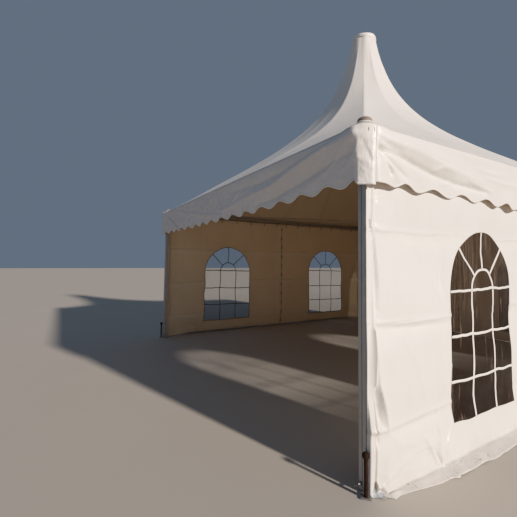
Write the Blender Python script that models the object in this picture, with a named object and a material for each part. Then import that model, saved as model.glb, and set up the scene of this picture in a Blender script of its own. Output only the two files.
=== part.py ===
# Pagoda marquee: four aluminium legs and eave beams, crossing cables that carry a
# flying mast, a tensioned membrane roof with scalloped valances, and hung walls
# with arched film windows on three sides. The front side is open.
# Units are metres, +Z is up, and the origin is on the ground at the middle of the
# footprint, which the ground flap makes a little deeper at the back than at the front.

import math

import bmesh
import bpy
from mathutils import Matrix, Vector

# Overall frame
LEG_SPACING = 5.0        # between leg centres, both ways
LEG_TOP = 2.2            # top of the leg tube above the ground
BEAM_RISE = 0.026        # from the top of the legs to the underside of the eave beams
SEAT_GAP = 0.0003        # between pieces that touch

# Extruded profiles with a keder groove in each face
LEG_SIDE = 0.065
LEG_BORE = 0.036
BEAM_SIDE = 0.054
BEAM_BORE = 0.028
KEDER_SLOT = 0.005       # width of the groove's mouth
KEDER_LIP = 0.003        # depth of the groove's mouth
KEDER_CHANNEL = 0.011    # diameter of the round channel behind it
PROFILE_CHAMFER = 0.003

# Base plates and ground stakes
PLATE_THICKNESS = 0.01
TONGUE_WIDTH = 0.063
TONGUE_REACH = 0.093     # outward along the diagonal, from the leg's centre
TONGUE_TAIL = 0.05       # inward along the diagonal
STAKE_OUT = 0.074        # from the leg's centre to the stake's axis
STAKE_DIAMETER = 0.025
STAKE_HEIGHT = 0.266     # top of the head above the ground
STAKE_HEAD_DIAMETER = 0.047
STAKE_HEAD_HEIGHT = 0.037
STAKE_HEAD_CURL = 0.6    # share of a quarter turn that the head curls in under itself
STAKE_CLEARANCE = 0.0006

# Corner heads and caps
HEAD_HEIGHT = 0.083      # above the top of the leg
LUG_REACH = 0.04
LUG_THICKNESS = 0.006
LUG_HEIGHT = 0.05
CAP_DIAMETER = 0.091
CAP_HEIGHT = 0.035
CAP_RIM = 0.009          # height of the cap's straight rim

# Cables, mast and peak
CABLE_DIAMETER = 0.01
CABLE_END_RISE = 0.05    # from the top of the legs to the ends of the cables
CABLE_SAG = 0.2          # from the ends of the cables to their crossing
CABLE_CROSSING_RISE = 0.013
MAST_DIAMETER = 0.07
MAST_WALL = 0.004
FOOT_DIAMETER = 0.1
FOOT_BELOW_CABLE = 0.02
FOOT_ABOVE_CABLE = 0.045
SPIGOT_HEIGHT = 0.06
RING_THICKNESS = 0.012
HOOD_RISE = 0.05         # of the hood's top above the neck
HOOD_SHOULDER = 0.03
HOOD_SKIRT = 0.08        # how far the hood reaches down from its top
HOOD_WALL = 0.003
HOOD_EASE = 0.003        # between the hood's lower edge and the neck

# Membrane roof
EAVE_RISE = 0.04         # from the top of the legs to the roof's lower edge
EAVE_OVERHANG = 0.12     # beyond the leg centres
CORNER_CUT = 0.145       # width of the flat across each corner
ROOF_RISE = 2.83         # from the eave to the top of the neck
NECK_RADIUS = 0.187
MEMBRANE = 0.003
NECK_SOFTNESS = 0.1266   # smaller makes the neck steeper
LOG_SHARE = 0.894        # share of the drop that follows the logarithm
SQUARING = 1.37          # how soon the neck turns square on its way down
SEAM_OUT = 1.06          # from the middle of a side to the seams beside it, at the eave
GORE_START = 0.04        # share of the way down by which the round neck has flat gores
TRIM_FADE = 12           # how late the eave's outline takes over
HEAD_HOLE_CLEARANCE = 0.0025
HEAD_HOLE_DEPTH = 0.5    # cut this far above and below the eave
ROOF_ROWS = 16
NECK_CROWDING = 1.7      # packs the rows together near the neck

# Valances
VALANCE_THICKNESS = 0.003
SCALLOPS = 16
SCALLOP_STEPS = 4
FLAP_STEPS = 3           # facets of the straight flap across each corner
VALANCE_DROP = 0.388     # from the eave to the lowest points of the scallops
SCALLOP_DEPTH = 0.036
FLAP_DROP = 0.372        # from the eave to the straight edge across each corner

# Walls, two panels to a side
WALL_RISE = 0.014        # from the top of the legs to the top of the walls
WALL_THICKNESS = 0.003
WALL_EDGE = 0.03         # how far a wall runs past the leg's centre
SKIRT_TOP = 0.2          # where the wall starts to lean outward
SKIRT_LEAN = 0.055
FLAP_WIDTH = 0.105       # lies on the ground outside the skirt
SKIRT_START = 0.055      # from the leg's centre to the skirt and ground flap

# Arched film windows
WINDOW_CENTRE = 1.25     # from the leg's centre
WINDOW_WIDTH = 0.94
WINDOW_SILL = 0.215
WINDOW_SPRING = 1.172
ARCH_STEPS = 24
FILM_THICKNESS = 0.002

# Facets and tolerances
SMALL_STEPS = 16         # round a bore, a stake or a cap
ROUND_STEPS = 34         # round the mast and the hood
BAR_SIDES = 10
CURVE_STEPS = 6          # along a rounded profile
CHANNEL_STEPS = 5        # round a keder channel
SHARP_ANGLE = math.radians(40)
WELD_DISTANCE = 1e-6
HALVINGS = 40            # of the search for a height on the neck

# Positions that follow from the sizes above
HALF = LEG_SPACING / 2
DIAGONAL = math.sqrt(2)
BEAM_BOTTOM = LEG_TOP + BEAM_RISE
HEAD_TOP = LEG_TOP + HEAD_HEIGHT
CABLE_END_HEIGHT = LEG_TOP + CABLE_END_RISE
CABLE_CENTRE_HEIGHT = CABLE_END_HEIGHT - CABLE_SAG
EAVE_HEIGHT = LEG_TOP + EAVE_RISE
NECK_TOP = EAVE_HEIGHT + ROOF_RISE
HOOD_TOP = NECK_TOP + HOOD_RISE
VALANCE_LOW = EAVE_HEIGHT - VALANCE_DROP
FLAP_BOTTOM = EAVE_HEIGHT - FLAP_DROP
WALL_TOP = LEG_TOP + WALL_RISE
EAVE_HALF = HALF + EAVE_OVERHANG
CUT_BACK = CORNER_CUT / DIAGONAL
CORNERS = {"back_right": 0, "back_left": 1, "front_left": 2, "front_right": 3}
SIDES = {"front": 0, "right": 1, "back": 2, "left": 3}
CLOSED_SIDES = ("right", "back", "left")
QUARTER = math.pi / 2


def clear_scene():
    for item in list(bpy.data.objects):
        bpy.data.objects.remove(item, do_unlink=True)


def make_material(name, colour, roughness, metallic):
    material = bpy.data.materials.new(name)
    material.use_nodes = True
    shader = material.node_tree.nodes["Principled BSDF"]
    shader.inputs["Base Color"].default_value = (*colour, 1.0)
    shader.inputs["Roughness"].default_value = roughness
    shader.inputs["Metallic"].default_value = metallic
    material.diffuse_color = (*colour, 1.0)
    return material


def add_object(name, mesh, material, turn=0.0, location=(0, 0, 0)):
    item = bpy.data.objects.new(name, mesh)
    bpy.context.scene.collection.objects.link(item)
    if not mesh.materials:
        mesh.materials.append(material)
    item.rotation_euler = (0, 0, turn)
    item.location = location
    return item


def mesh_from(bm, name):
    bmesh.ops.remove_doubles(bm, verts=bm.verts, dist=WELD_DISTANCE)
    bmesh.ops.recalc_face_normals(bm, faces=bm.faces)
    mesh = bpy.data.meshes.new(name)
    bm.to_mesh(mesh)
    bm.free()
    return mesh


def circle(radius, steps, centre=(0, 0)):
    points = []
    for step in range(steps):
        angle = math.tau * step / steps
        points.append((centre[0] + radius * math.cos(angle), centre[1] + radius * math.sin(angle)))
    return points


def join_rings(bm, first, last):
    steps = len(first)
    for index in range(steps):
        after = (index + 1) % steps
        bm.faces.new((first[index], first[after], last[after], last[index]))


# Adds a flat outline, with or without holes, extruded by depth along its normal.
# frame places the outline's x, y and z.
def add_extrusion(bm, loops, depth, frame):
    edges = []
    raised = {}
    for loop in loops:
        low = [bm.verts.new((x, y, 0)) for x, y in loop]
        high = [bm.verts.new((x, y, depth)) for x, y in loop]
        raised.update(zip(low, high))
        for index, vert in enumerate(low):
            edges.append(bm.edges.new((vert, low[(index + 1) % len(low)])))
        join_rings(bm, low, high)
    filled = bmesh.ops.triangle_fill(bm, use_beauty=True, edges=edges)
    for part in filled["geom"]:
        if isinstance(part, bmesh.types.BMFace):
            bm.faces.new([raised[vert] for vert in reversed(part.verts)])
    bmesh.ops.transform(bm, matrix=frame, verts=list(raised.keys()) + list(raised.values()))


def extruded_mesh(name, loops, depth, frame):
    bm = bmesh.new()
    add_extrusion(bm, loops, depth, frame)
    return mesh_from(bm, name)


def add_box(bm, low, high):
    size = [high[axis] - low[axis] for axis in range(3)]
    centre = [(high[axis] + low[axis]) / 2 for axis in range(3)]
    frame = Matrix.Translation(centre) @ Matrix.Diagonal((*size, 1))
    bmesh.ops.create_cube(bm, size=1.0, matrix=frame)


# Turns a profile of (radius, height) points round the Z axis. A radius of 0 closes a pole.
def add_turned(bm, profile, steps, centre=(0, 0, 0)):
    rings = []
    for radius, height in profile:
        if radius == 0:
            rings.append([bm.verts.new((centre[0], centre[1], centre[2] + height))])
            continue
        ring = []
        for x, y in circle(radius, steps):
            ring.append(bm.verts.new((centre[0] + x, centre[1] + y, centre[2] + height)))
        rings.append(ring)
    for lower, upper in zip(rings[:-1], rings[1:]):
        for index in range(steps):
            after = (index + 1) % steps
            corners = [lower[index % len(lower)], lower[after % len(lower)],
                       upper[after % len(upper)], upper[index % len(upper)]]
            unique = []
            for corner in corners:
                if corner not in unique:
                    unique.append(corner)
            if len(unique) > 2:
                bm.faces.new(unique)


def turned_mesh(name, profile, steps, centre=(0, 0, 0)):
    bm = bmesh.new()
    add_turned(bm, profile, steps, centre)
    mesh = mesh_from(bm, name)
    mesh.shade_smooth()
    mesh.set_sharp_from_angle(angle=SHARP_ANGLE)
    return mesh


# A round bar along straight runs, with mitred bends and closed ends.
def add_bar(bm, points, radius):
    points = [Vector(point) for point in points]
    rings = []
    for index, point in enumerate(points):
        before = points[max(index - 1, 0)]
        after = points[min(index + 1, len(points) - 1)]
        along = (after - before).normalized()
        across = along.cross(Vector((0, 0, 1))).normalized()
        rise = across.cross(along)
        ring = []
        for x, y in circle(radius, BAR_SIDES):
            ring.append(bm.verts.new(point + across * x + rise * y))
        rings.append(ring)
    for lower, upper in zip(rings[:-1], rings[1:]):
        join_rings(bm, lower, upper)
    bm.faces.new(rings[0])
    bm.faces.new(rings[-1])


def apply_boolean(item, cutters, operation):
    for cutter in cutters:
        modifier = item.modifiers.new("cut", "BOOLEAN")
        modifier.object = cutter
        modifier.operation = operation
        modifier.solver = "EXACT"
        cutter.hide_render = True
        cutter.display_type = "WIRE"


def cutter_object(name, bm):
    item = bpy.data.objects.new(name, mesh_from(bm, name))
    bpy.context.scene.collection.objects.link(item)
    item.hide_render = True
    item.display_type = "WIRE"
    return item


# Outline of a square tube with chamfered corners and one keder groove in each face
def keder_outline(side):
    half = side / 2
    mouth = KEDER_SLOT / 2
    channel = KEDER_CHANNEL / 2
    reach = math.sqrt(channel ** 2 - mouth ** 2)
    centre = -half + KEDER_LIP + reach
    start = math.atan2(-reach, -mouth)
    sweep = math.tau - 2 * math.atan2(mouth, reach)
    face = [(-half + PROFILE_CHAMFER, -half), (-mouth, -half)]
    for step in range(CHANNEL_STEPS + 1):
        angle = start - sweep * step / CHANNEL_STEPS
        face.append((channel * math.cos(angle), centre + channel * math.sin(angle)))
    face += [(mouth, -half), (half - PROFILE_CHAMFER, -half)]
    outline = []
    for turn in range(4):
        cosine, sine = round(math.cos(turn * QUARTER)), round(math.sin(turn * QUARTER))
        outline += [(x * cosine - y * sine, x * sine + y * cosine) for x, y in face]
    return outline


def make_legs(material):
    bottom = PLATE_THICKNESS + SEAT_GAP
    loops = [keder_outline(LEG_SIDE), circle(LEG_BORE / 2, SMALL_STEPS)]
    mesh = extruded_mesh("leg", loops, LEG_TOP - bottom, Matrix.Translation((0, 0, bottom)))
    for name, quarter in CORNERS.items():
        add_object("leg_" + name, mesh, material, quarter * QUARTER, corner_point(quarter))


def corner_point(quarter):
    angle = QUARTER / 2 + quarter * QUARTER
    reach = HALF * DIAGONAL
    return (reach * math.cos(angle), reach * math.sin(angle), 0)


# Corner pieces are drawn for the back right corner, where outward is +X +Y
def diagonal_frame(height=0.0):
    return Matrix.Translation((0, 0, height)) @ Matrix.Rotation(QUARTER / 2, 4, "Z")


def make_base_plates(material):
    half_leg = LEG_SIDE / 2
    reach = half_leg * DIAGONAL
    half_width = TONGUE_WIDTH / 2
    shoulder = reach - half_width
    outline = [(-TONGUE_TAIL, -half_width), (-shoulder, -half_width), (0, -reach),
               (shoulder, -half_width), (TONGUE_REACH, -half_width), (TONGUE_REACH, half_width),
               (shoulder, half_width), (0, reach), (-shoulder, half_width),
               (-TONGUE_TAIL, half_width)]
    hole = circle(STAKE_DIAMETER / 2 + STAKE_CLEARANCE, SMALL_STEPS, (STAKE_OUT, 0))
    mesh = extruded_mesh("base_plate", [outline, hole], PLATE_THICKNESS, diagonal_frame())
    for name, quarter in CORNERS.items():
        add_object("base_plate_" + name, mesh, material, quarter * QUARTER, corner_point(quarter))


# The head is part of a ball, from below its widest line up to its pole
def make_ground_stakes(material):
    shaft = STAKE_DIAMETER / 2
    head = STAKE_HEAD_DIAMETER / 2
    collar = STAKE_HEIGHT - STAKE_HEAD_HEIGHT
    lowest = -QUARTER * STAKE_HEAD_CURL
    depth = math.sin(lowest)
    profile = [(0, 0), (shaft, 0), (shaft, collar)]
    for step in range(1, CURVE_STEPS):
        angle = lowest + (QUARTER - lowest) * step / CURVE_STEPS
        rise = (math.sin(angle) - depth) / (1 - depth)
        profile.append((head * math.cos(angle), collar + STAKE_HEAD_HEIGHT * rise))
    profile.append((0, STAKE_HEIGHT))
    out = STAKE_OUT / DIAGONAL
    mesh = turned_mesh("ground_stake", profile, SMALL_STEPS, (out, out, 0))
    for name, quarter in CORNERS.items():
        add_object("ground_stake_" + name, mesh, material, quarter * QUARTER, corner_point(quarter))


def make_corner_heads(material):
    half = LEG_SIDE / 2
    reach = half * DIAGONAL + LUG_REACH
    head = bmesh.new()
    add_box(head, (-half, -half, LEG_TOP + SEAT_GAP), (half, half, HEAD_TOP))
    mesh = mesh_from(head, "corner_head")
    for name, quarter in CORNERS.items():
        item = add_object("corner_head_" + name, mesh, material, quarter * QUARTER,
                          corner_point(quarter))
        lug = bmesh.new()
        add_box(lug, (-reach, -LUG_THICKNESS / 2, CABLE_END_HEIGHT - LUG_HEIGHT / 2),
                (0, LUG_THICKNESS / 2, CABLE_END_HEIGHT + LUG_HEIGHT / 2))
        bmesh.ops.transform(lug, matrix=diagonal_frame(), verts=lug.verts)
        joined = cutter_object("lug_" + name, lug)
        joined.rotation_euler = item.rotation_euler
        joined.location = item.location
        apply_boolean(item, [joined], "UNION")


def make_corner_caps(material):
    radius = CAP_DIAMETER / 2
    crown = CAP_HEIGHT - CAP_RIM
    profile = [(0, 0), (radius, 0), (radius, CAP_RIM)]
    for step in range(1, CURVE_STEPS):
        angle = QUARTER * step / CURVE_STEPS
        profile.append((radius * math.cos(angle), CAP_RIM + crown * math.sin(angle)))
    profile.append((0, CAP_HEIGHT))
    mesh = turned_mesh("corner_cap", profile, SMALL_STEPS, (0, 0, HEAD_TOP + SEAT_GAP))
    for name, quarter in CORNERS.items():
        add_object("corner_cap_" + name, mesh, material, quarter * QUARTER, corner_point(quarter))


# Pieces along a side are drawn for the front, where outward is -Y
def make_eave_beams(material):
    start = -HALF + LEG_SIDE / 2 + SEAT_GAP
    length = -2 * start
    along = Matrix.Rotation(QUARTER, 4, "Y")
    place = Matrix.Translation((start, -HALF, BEAM_BOTTOM + BEAM_SIDE / 2))
    loops = [keder_outline(BEAM_SIDE), circle(BEAM_BORE / 2, SMALL_STEPS)]
    mesh = extruded_mesh("eave_beam", loops, length, place @ along)
    for name, quarter in SIDES.items():
        add_object("eave_beam_" + name, mesh, material, quarter * QUARTER)


def cable_points(rise):
    reach = HALF * DIAGONAL - LEG_SIDE / 2 * DIAGONAL - LUG_REACH - 2 * SEAT_GAP
    end = reach / DIAGONAL
    centre = CABLE_CENTRE_HEIGHT + rise
    return [(-end, -end, CABLE_END_HEIGHT), (0, 0, centre), (end, end, CABLE_END_HEIGHT)]


def make_cables(material):
    names = ("cable_front_left_to_back_right", "cable_front_right_to_back_left")
    for index, name in enumerate(names):
        bm = bmesh.new()
        add_bar(bm, cable_points(CABLE_CROSSING_RISE * index), CABLE_DIAMETER / 2)
        add_object(name, mesh_from(bm, name), material, -QUARTER * index)


def make_mast_foot(material):
    low = CABLE_CENTRE_HEIGHT - FOOT_BELOW_CABLE
    high = CABLE_CENTRE_HEIGHT + FOOT_ABOVE_CABLE
    spigot = MAST_DIAMETER / 2 - MAST_WALL - SEAT_GAP
    bm = bmesh.new()
    add_turned(bm, [(0, low), (FOOT_DIAMETER / 2, low), (FOOT_DIAMETER / 2, high), (spigot, high),
                    (spigot, high + SPIGOT_HEIGHT), (0, high + SPIGOT_HEIGHT)], ROUND_STEPS)
    foot = add_object("mast_foot", mesh_from(bm, "mast_foot"), material)
    cutters = []
    for index in range(2):
        bm = bmesh.new()
        add_bar(bm, cable_points(CABLE_CROSSING_RISE * index), CABLE_DIAMETER / 2 + 2 * SEAT_GAP)
        cutter = cutter_object("foot_channel_%d" % index, bm)
        cutter.rotation_euler = (0, 0, -QUARTER * index)
        cutters.append(cutter)
    apply_boolean(foot, cutters, "DIFFERENCE")


def make_mast(material):
    outer = MAST_DIAMETER / 2
    bore = outer - MAST_WALL
    bottom = CABLE_CENTRE_HEIGHT + FOOT_ABOVE_CABLE + SEAT_GAP
    top = HOOD_TOP - HOOD_WALL - SEAT_GAP
    ring_low = NECK_TOP - RING_THICKNESS
    ring = NECK_RADIUS - MEMBRANE - 2 * SEAT_GAP
    profile = [(0, top), (outer, top), (outer, NECK_TOP), (ring, NECK_TOP), (ring, ring_low),
               (outer, ring_low), (outer, bottom), (bore, bottom), (bore, ring_low),
               (0, ring_low)]
    add_object("mast", turned_mesh("mast", profile, ROUND_STEPS), material)


# The roof's outer radius near the neck, found by halving the share it lies at
def neck_radius_at(height):
    reach = EAVE_HALF * DIAGONAL - NECK_RADIUS
    wanted = (NECK_TOP - height) / (NECK_TOP - EAVE_HEIGHT)
    low, high = 0.0, 1.0
    for _ in range(HALVINGS):
        share = (low + high) / 2
        if roof_drop(share, reach) < wanted:
            low = share
        else:
            high = share
    return NECK_RADIUS + low * reach


def make_peak_hood(material):
    bottom = HOOD_TOP - HOOD_SKIRT
    outer = neck_radius_at(bottom) + HOOD_EASE + HOOD_WALL
    outside = [(outer, bottom)]
    inside = [(outer - HOOD_WALL, bottom)]
    shrink = (HOOD_SHOULDER - HOOD_WALL) / HOOD_SHOULDER
    for step in range(CURVE_STEPS + 1):
        angle = QUARTER * step / CURVE_STEPS
        inset = HOOD_SHOULDER * (1 - math.cos(angle))
        lift = HOOD_SHOULDER * math.sin(angle)
        outside.append((outer - inset, HOOD_TOP - HOOD_SHOULDER + lift))
        inside.append((outer - HOOD_WALL - inset * shrink,
                       HOOD_TOP - HOOD_SHOULDER + lift * shrink))
    profile = [(0, HOOD_TOP)] + outside[::-1] + inside + [(0, HOOD_TOP - HOOD_WALL)]
    add_object("peak_hood", turned_mesh("peak_hood", profile, ROUND_STEPS), material)


# Points round the eave: a row along each side, with its two seams, then the middle of the
# cut corner
def eave_points():
    run = EAVE_HALF - CUT_BACK
    middle = EAVE_HALF - CUT_BACK / 2
    side = []
    for step in range(SCALLOPS + 1):
        x = -run + 2 * run * step / SCALLOPS
        if abs(abs(x) - SEAM_OUT) < run / SCALLOPS:
            x = math.copysign(SEAM_OUT, x)
        side.append((x, -EAVE_HALF))
    side.append((middle, -middle))
    points = []
    for quarter in range(4):
        cosine = round(math.cos(quarter * QUARTER))
        sine = round(math.sin(quarter * QUARTER))
        points += [(x * cosine - y * sine, x * sine + y * cosine) for x, y in side]
    return points


# How far the roof has dropped at a share of the way from the neck to the corner
def roof_drop(share, reach):
    bend = math.log(1 + share * reach / NECK_SOFTNESS) / math.log(1 + reach / NECK_SOFTNESS)
    return LOG_SHARE * bend + (1 - LOG_SHARE) * share ** 2


# The roof's plan at one height, as the distance from the mast at an angle. The hips lie at
# a distance of 1 and the middles of the sides at the one given. The cloth is flat between
# the hips and the two seams beside each middle.
def gored(angle, middle):
    turned = abs((angle + QUARTER / 2) % QUARTER - QUARTER / 2)
    slope = SEAM_OUT / EAVE_HALF
    if math.tan(turned) < slope:
        return middle / math.cos(turned)
    run = 1 / DIAGONAL - middle
    rise = 1 / DIAGONAL - middle * slope
    return middle * (rise - slope * run) / (math.cos(turned) * rise - math.sin(turned) * run)


# The roof's outer skin: a circle at the neck, soon gored, and nearly square at the eave.
# The eave's own outline, with its cut corners, takes over in the last stretch.
def roof_point(direction, share):
    corner = EAVE_HALF * DIAGONAL
    drop = roof_drop(share, corner - NECK_RADIUS)
    angle = math.atan2(direction[1], direction[0])
    flatness = min(share / GORE_START, 1)
    section = 1 + (gored(angle, DIAGONAL ** -(drop ** SQUARING)) - 1) * flatness
    radius = (NECK_RADIUS + share * (corner - NECK_RADIUS)) * section
    untrimmed = corner * gored(angle, 1 / DIAGONAL)
    radius *= 1 - (1 - math.hypot(*direction) / untrimmed) * share ** TRIM_FADE
    height = NECK_TOP - (NECK_TOP - EAVE_HEIGHT) * drop
    return (radius * math.cos(angle), radius * math.sin(angle), height)


def make_roof(material):
    columns = eave_points()
    bm = bmesh.new()
    rings = []
    for row in range(ROOF_ROWS + 1):
        share = (row / ROOF_ROWS) ** NECK_CROWDING
        rings.append([bm.verts.new(roof_point(column, share)) for column in columns])
    for upper, lower in zip(rings[:-1], rings[1:]):
        join_rings(bm, upper, lower)
    roof = add_object("roof_membrane", mesh_from(bm, "roof_membrane"), material)
    if roof.data.polygons[0].normal.z < 0:
        roof.data.flip_normals()
    sheet = roof.modifiers.new("sheet", "SOLIDIFY")
    sheet.thickness = MEMBRANE
    sheet.offset = -1
    cutters = []
    hole = LEG_SIDE / 2 * DIAGONAL + HEAD_HOLE_CLEARANCE
    low = EAVE_HEIGHT - HEAD_HOLE_DEPTH
    high = EAVE_HEIGHT + HEAD_HOLE_DEPTH
    for name, quarter in CORNERS.items():
        bm = bmesh.new()
        add_turned(bm, [(0, low), (hole, low), (hole, high), (0, high)], ROUND_STEPS)
        cutter = cutter_object("head_hole_" + name, bm)
        cutter.location = corner_point(quarter)
        cutters.append(cutter)
    apply_boolean(roof, cutters, "DIFFERENCE")


# Plan points of a valance with their lower edge: scallops along the side, then the
# straight flap across the corner. inset moves the line inwards.
def valance_line(inset):
    run = EAVE_HALF - CUT_BACK
    bend = inset * math.tan(QUARTER / 4)
    points = []
    count = SCALLOPS * SCALLOP_STEPS
    for step in range(count + 1):
        share = step / count
        wave = 0.5 + 0.5 * math.cos(math.tau * share * SCALLOPS)
        x = -run + bend + 2 * (run - bend) * share
        points.append((x, -EAVE_HALF + inset, VALANCE_LOW + SCALLOP_DEPTH * wave))
    start = (run - bend, -EAVE_HALF + inset)
    end = (EAVE_HALF - inset, -run + bend)
    for step in range(1, FLAP_STEPS + 1):
        share = step / FLAP_STEPS * (1 - SEAT_GAP / CORNER_CUT)
        points.append((start[0] + (end[0] - start[0]) * share,
                       start[1] + (end[1] - start[1]) * share, FLAP_BOTTOM))
    return points


def make_valances(material):
    top = EAVE_HEIGHT - MEMBRANE - SEAT_GAP
    bm = bmesh.new()
    columns = []
    for outer, inner in zip(valance_line(0), valance_line(VALANCE_THICKNESS)):
        columns.append([bm.verts.new((outer[0], outer[1], outer[2])),
                        bm.verts.new((outer[0], outer[1], top)),
                        bm.verts.new((inner[0], inner[1], top)),
                        bm.verts.new((inner[0], inner[1], inner[2]))])
    for before, after in zip(columns[:-1], columns[1:]):
        join_rings(bm, before, after)
    bm.faces.new(columns[0])
    bm.faces.new(columns[-1])
    mesh = mesh_from(bm, "valance")
    for name, quarter in SIDES.items():
        add_object("valance_" + name, mesh, material, quarter * QUARTER)


def window_outline(inset):
    radius = WINDOW_WIDTH / 2 - inset
    points = [(-radius, WINDOW_SILL + inset), (radius, WINDOW_SILL + inset)]
    for step in range(ARCH_STEPS + 1):
        angle = math.pi * step / ARCH_STEPS
        points.append((radius * math.cos(angle), WINDOW_SPRING + radius * math.sin(angle)))
    return points


# Stands an outline drawn in x and z on the inner face of the front wall
def wall_frame(offset=0.0):
    inner = -HALF - LEG_SIDE / 2 - SEAT_GAP - offset
    return Matrix.Translation((0, inner, 0)) @ Matrix.Rotation(QUARTER, 4, "X")


# hand is -1 for the panel on the left seen from outside, and 1 for the other one
def wall_panel_mesh(hand):
    edge = HALF + WALL_EDGE
    skirt = HALF - SKIRT_START
    seam = SEAT_GAP / 2
    foot = PLATE_THICKNESS + 2 * SEAT_GAP
    outline = [(edge, foot), (edge, WALL_TOP), (seam, WALL_TOP), (seam, SKIRT_TOP),
               (skirt, SKIRT_TOP), (skirt, foot)]
    centre = HALF - WINDOW_CENTRE
    window = [(x + centre, y) for x, y in window_outline(0)]
    loops = [[(hand * x, y) for x, y in loop] for loop in (outline, window)]
    bm = bmesh.new()
    add_extrusion(bm, loops, WALL_THICKNESS, wall_frame())
    return mesh_from(bm, "wall_panel")


# The lower part of a panel: it leans outward and turns onto the ground as a flap
def wall_skirt(hand):
    face = HALF + LEG_SIDE / 2 + SEAT_GAP
    outer = face + WALL_THICKNESS
    section = [(face, SKIRT_TOP + WALL_THICKNESS), (face, SKIRT_TOP),
               (face + SKIRT_LEAN, 0), (outer + SKIRT_LEAN + FLAP_WIDTH, 0),
               (outer + SKIRT_LEAN + FLAP_WIDTH, WALL_THICKNESS),
               (outer + SKIRT_LEAN, WALL_THICKNESS), (outer, SKIRT_TOP),
               (outer, SKIRT_TOP + WALL_THICKNESS)]
    length = HALF - SKIRT_START - SEAT_GAP / 2
    low = SEAT_GAP / 2 if hand > 0 else -(HALF - SKIRT_START)
    # The section's x runs outward along -Y, its y runs up, and it is extruded along X
    frame = Matrix(((0, 0, 1, low), (-1, 0, 0, 0), (0, 1, 0, 0), (0, 0, 0, 1)))
    bm = bmesh.new()
    add_extrusion(bm, [section], length, frame)
    return bm


def make_walls(material, film):
    centre = HALF - WINDOW_CENTRE
    parts = {"left": -1, "right": 1}
    panels = {hand: wall_panel_mesh(hand) for hand in parts.values()}
    middle = (WALL_THICKNESS - FILM_THICKNESS) / 2
    films = {}
    for hand in parts.values():
        outline = [(x + hand * centre, y) for x, y in window_outline(SEAT_GAP)]
        films[hand] = extruded_mesh("window_film", [outline], FILM_THICKNESS, wall_frame(middle))
    for side in CLOSED_SIDES:
        turn = SIDES[side] * QUARTER
        for part, hand in parts.items():
            name = "%s_wall_%s" % (side, part)
            panel = add_object(name, panels[hand], material, turn)
            skirt = cutter_object("skirt_" + name, wall_skirt(hand))
            skirt.rotation_euler = panel.rotation_euler
            apply_boolean(panel, [skirt], "UNION")
            add_object("%s_window_%s" % (side, part), films[hand], film, turn)


# The pieces are drawn round the mast. One empty sets them on the footprint's middle.
def centre_on_footprint():
    back = HALF + LEG_SIDE / 2 + SEAT_GAP + WALL_THICKNESS + SKIRT_LEAN + FLAP_WIDTH
    anchor = bpy.data.objects.new("tent", None)
    pieces = list(bpy.data.objects)
    bpy.context.scene.collection.objects.link(anchor)
    anchor.location = (0, (EAVE_HALF - back) / 2, 0)
    for piece in pieces:
        if piece != anchor:
            piece.parent = anchor


def build():
    clear_scene()
    aluminium = make_material("aluminium", (0.50, 0.52, 0.54), 0.42, 1.0)
    galvanised = make_material("galvanised_steel", (0.42, 0.43, 0.43), 0.55, 0.9)
    rusty = make_material("rusty_steel", (0.20, 0.085, 0.045), 0.85, 0.2)
    cap = make_material("cap_plastic", (0.24, 0.19, 0.16), 0.6, 0.0)
    membrane = make_material("coated_membrane", (0.83, 0.80, 0.76), 0.45, 0.0)
    film = make_material("window_film", (0.16, 0.12, 0.10), 0.15, 0.0)
    make_legs(aluminium)
    make_base_plates(galvanised)
    make_ground_stakes(rusty)
    make_corner_heads(aluminium)
    make_corner_caps(cap)
    make_eave_beams(aluminium)
    make_cables(galvanised)
    make_mast_foot(galvanised)
    make_mast(aluminium)
    make_peak_hood(membrane)
    make_roof(membrane)
    make_valances(membrane)
    make_walls(membrane, film)
    centre_on_footprint()


build()
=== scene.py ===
import math

import bmesh
import bpy
import numpy as np
from mathutils import Matrix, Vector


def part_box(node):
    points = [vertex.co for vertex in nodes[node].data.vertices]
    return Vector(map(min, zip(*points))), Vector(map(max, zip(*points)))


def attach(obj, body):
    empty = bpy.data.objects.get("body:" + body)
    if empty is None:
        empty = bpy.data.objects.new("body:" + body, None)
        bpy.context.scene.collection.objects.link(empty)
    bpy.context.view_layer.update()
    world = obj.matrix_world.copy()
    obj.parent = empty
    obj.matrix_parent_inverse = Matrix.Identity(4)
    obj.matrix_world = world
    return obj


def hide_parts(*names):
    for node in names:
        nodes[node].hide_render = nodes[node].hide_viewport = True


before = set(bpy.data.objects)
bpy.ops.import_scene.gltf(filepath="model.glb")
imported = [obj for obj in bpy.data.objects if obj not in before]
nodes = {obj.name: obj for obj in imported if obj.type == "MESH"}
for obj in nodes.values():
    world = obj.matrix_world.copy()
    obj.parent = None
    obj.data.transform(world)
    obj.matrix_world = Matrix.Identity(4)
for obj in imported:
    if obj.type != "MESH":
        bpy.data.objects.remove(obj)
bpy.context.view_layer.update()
print("frame loaded:", len(nodes), "nodes")

# The plan comes from the frame: legs, eave and mast
nearLow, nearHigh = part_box("leg_front_right")
farLow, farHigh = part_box("leg_back_left")
half = (nearLow.x + nearHigh.x) / 2                          # leg centres, from the mast
mastY = (nearLow.y + nearHigh.y + farLow.y + farHigh.y) / 4
legHalf = (nearHigh.x - nearLow.x) / 2
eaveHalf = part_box("roof_membrane")[1].x
root2 = math.sqrt(2)
turns = {"front": 0, "right": 1, "back": 2, "left": 3}       # quarter turns about the mast
# A seed for each corner, and the signs of its x and y
corners = {"front_right": (3, 1, -1), "back_right": (0, 1, 1), "back_left": (1, -1, 1),
           "front_left": (2, -1, -1)}


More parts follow.
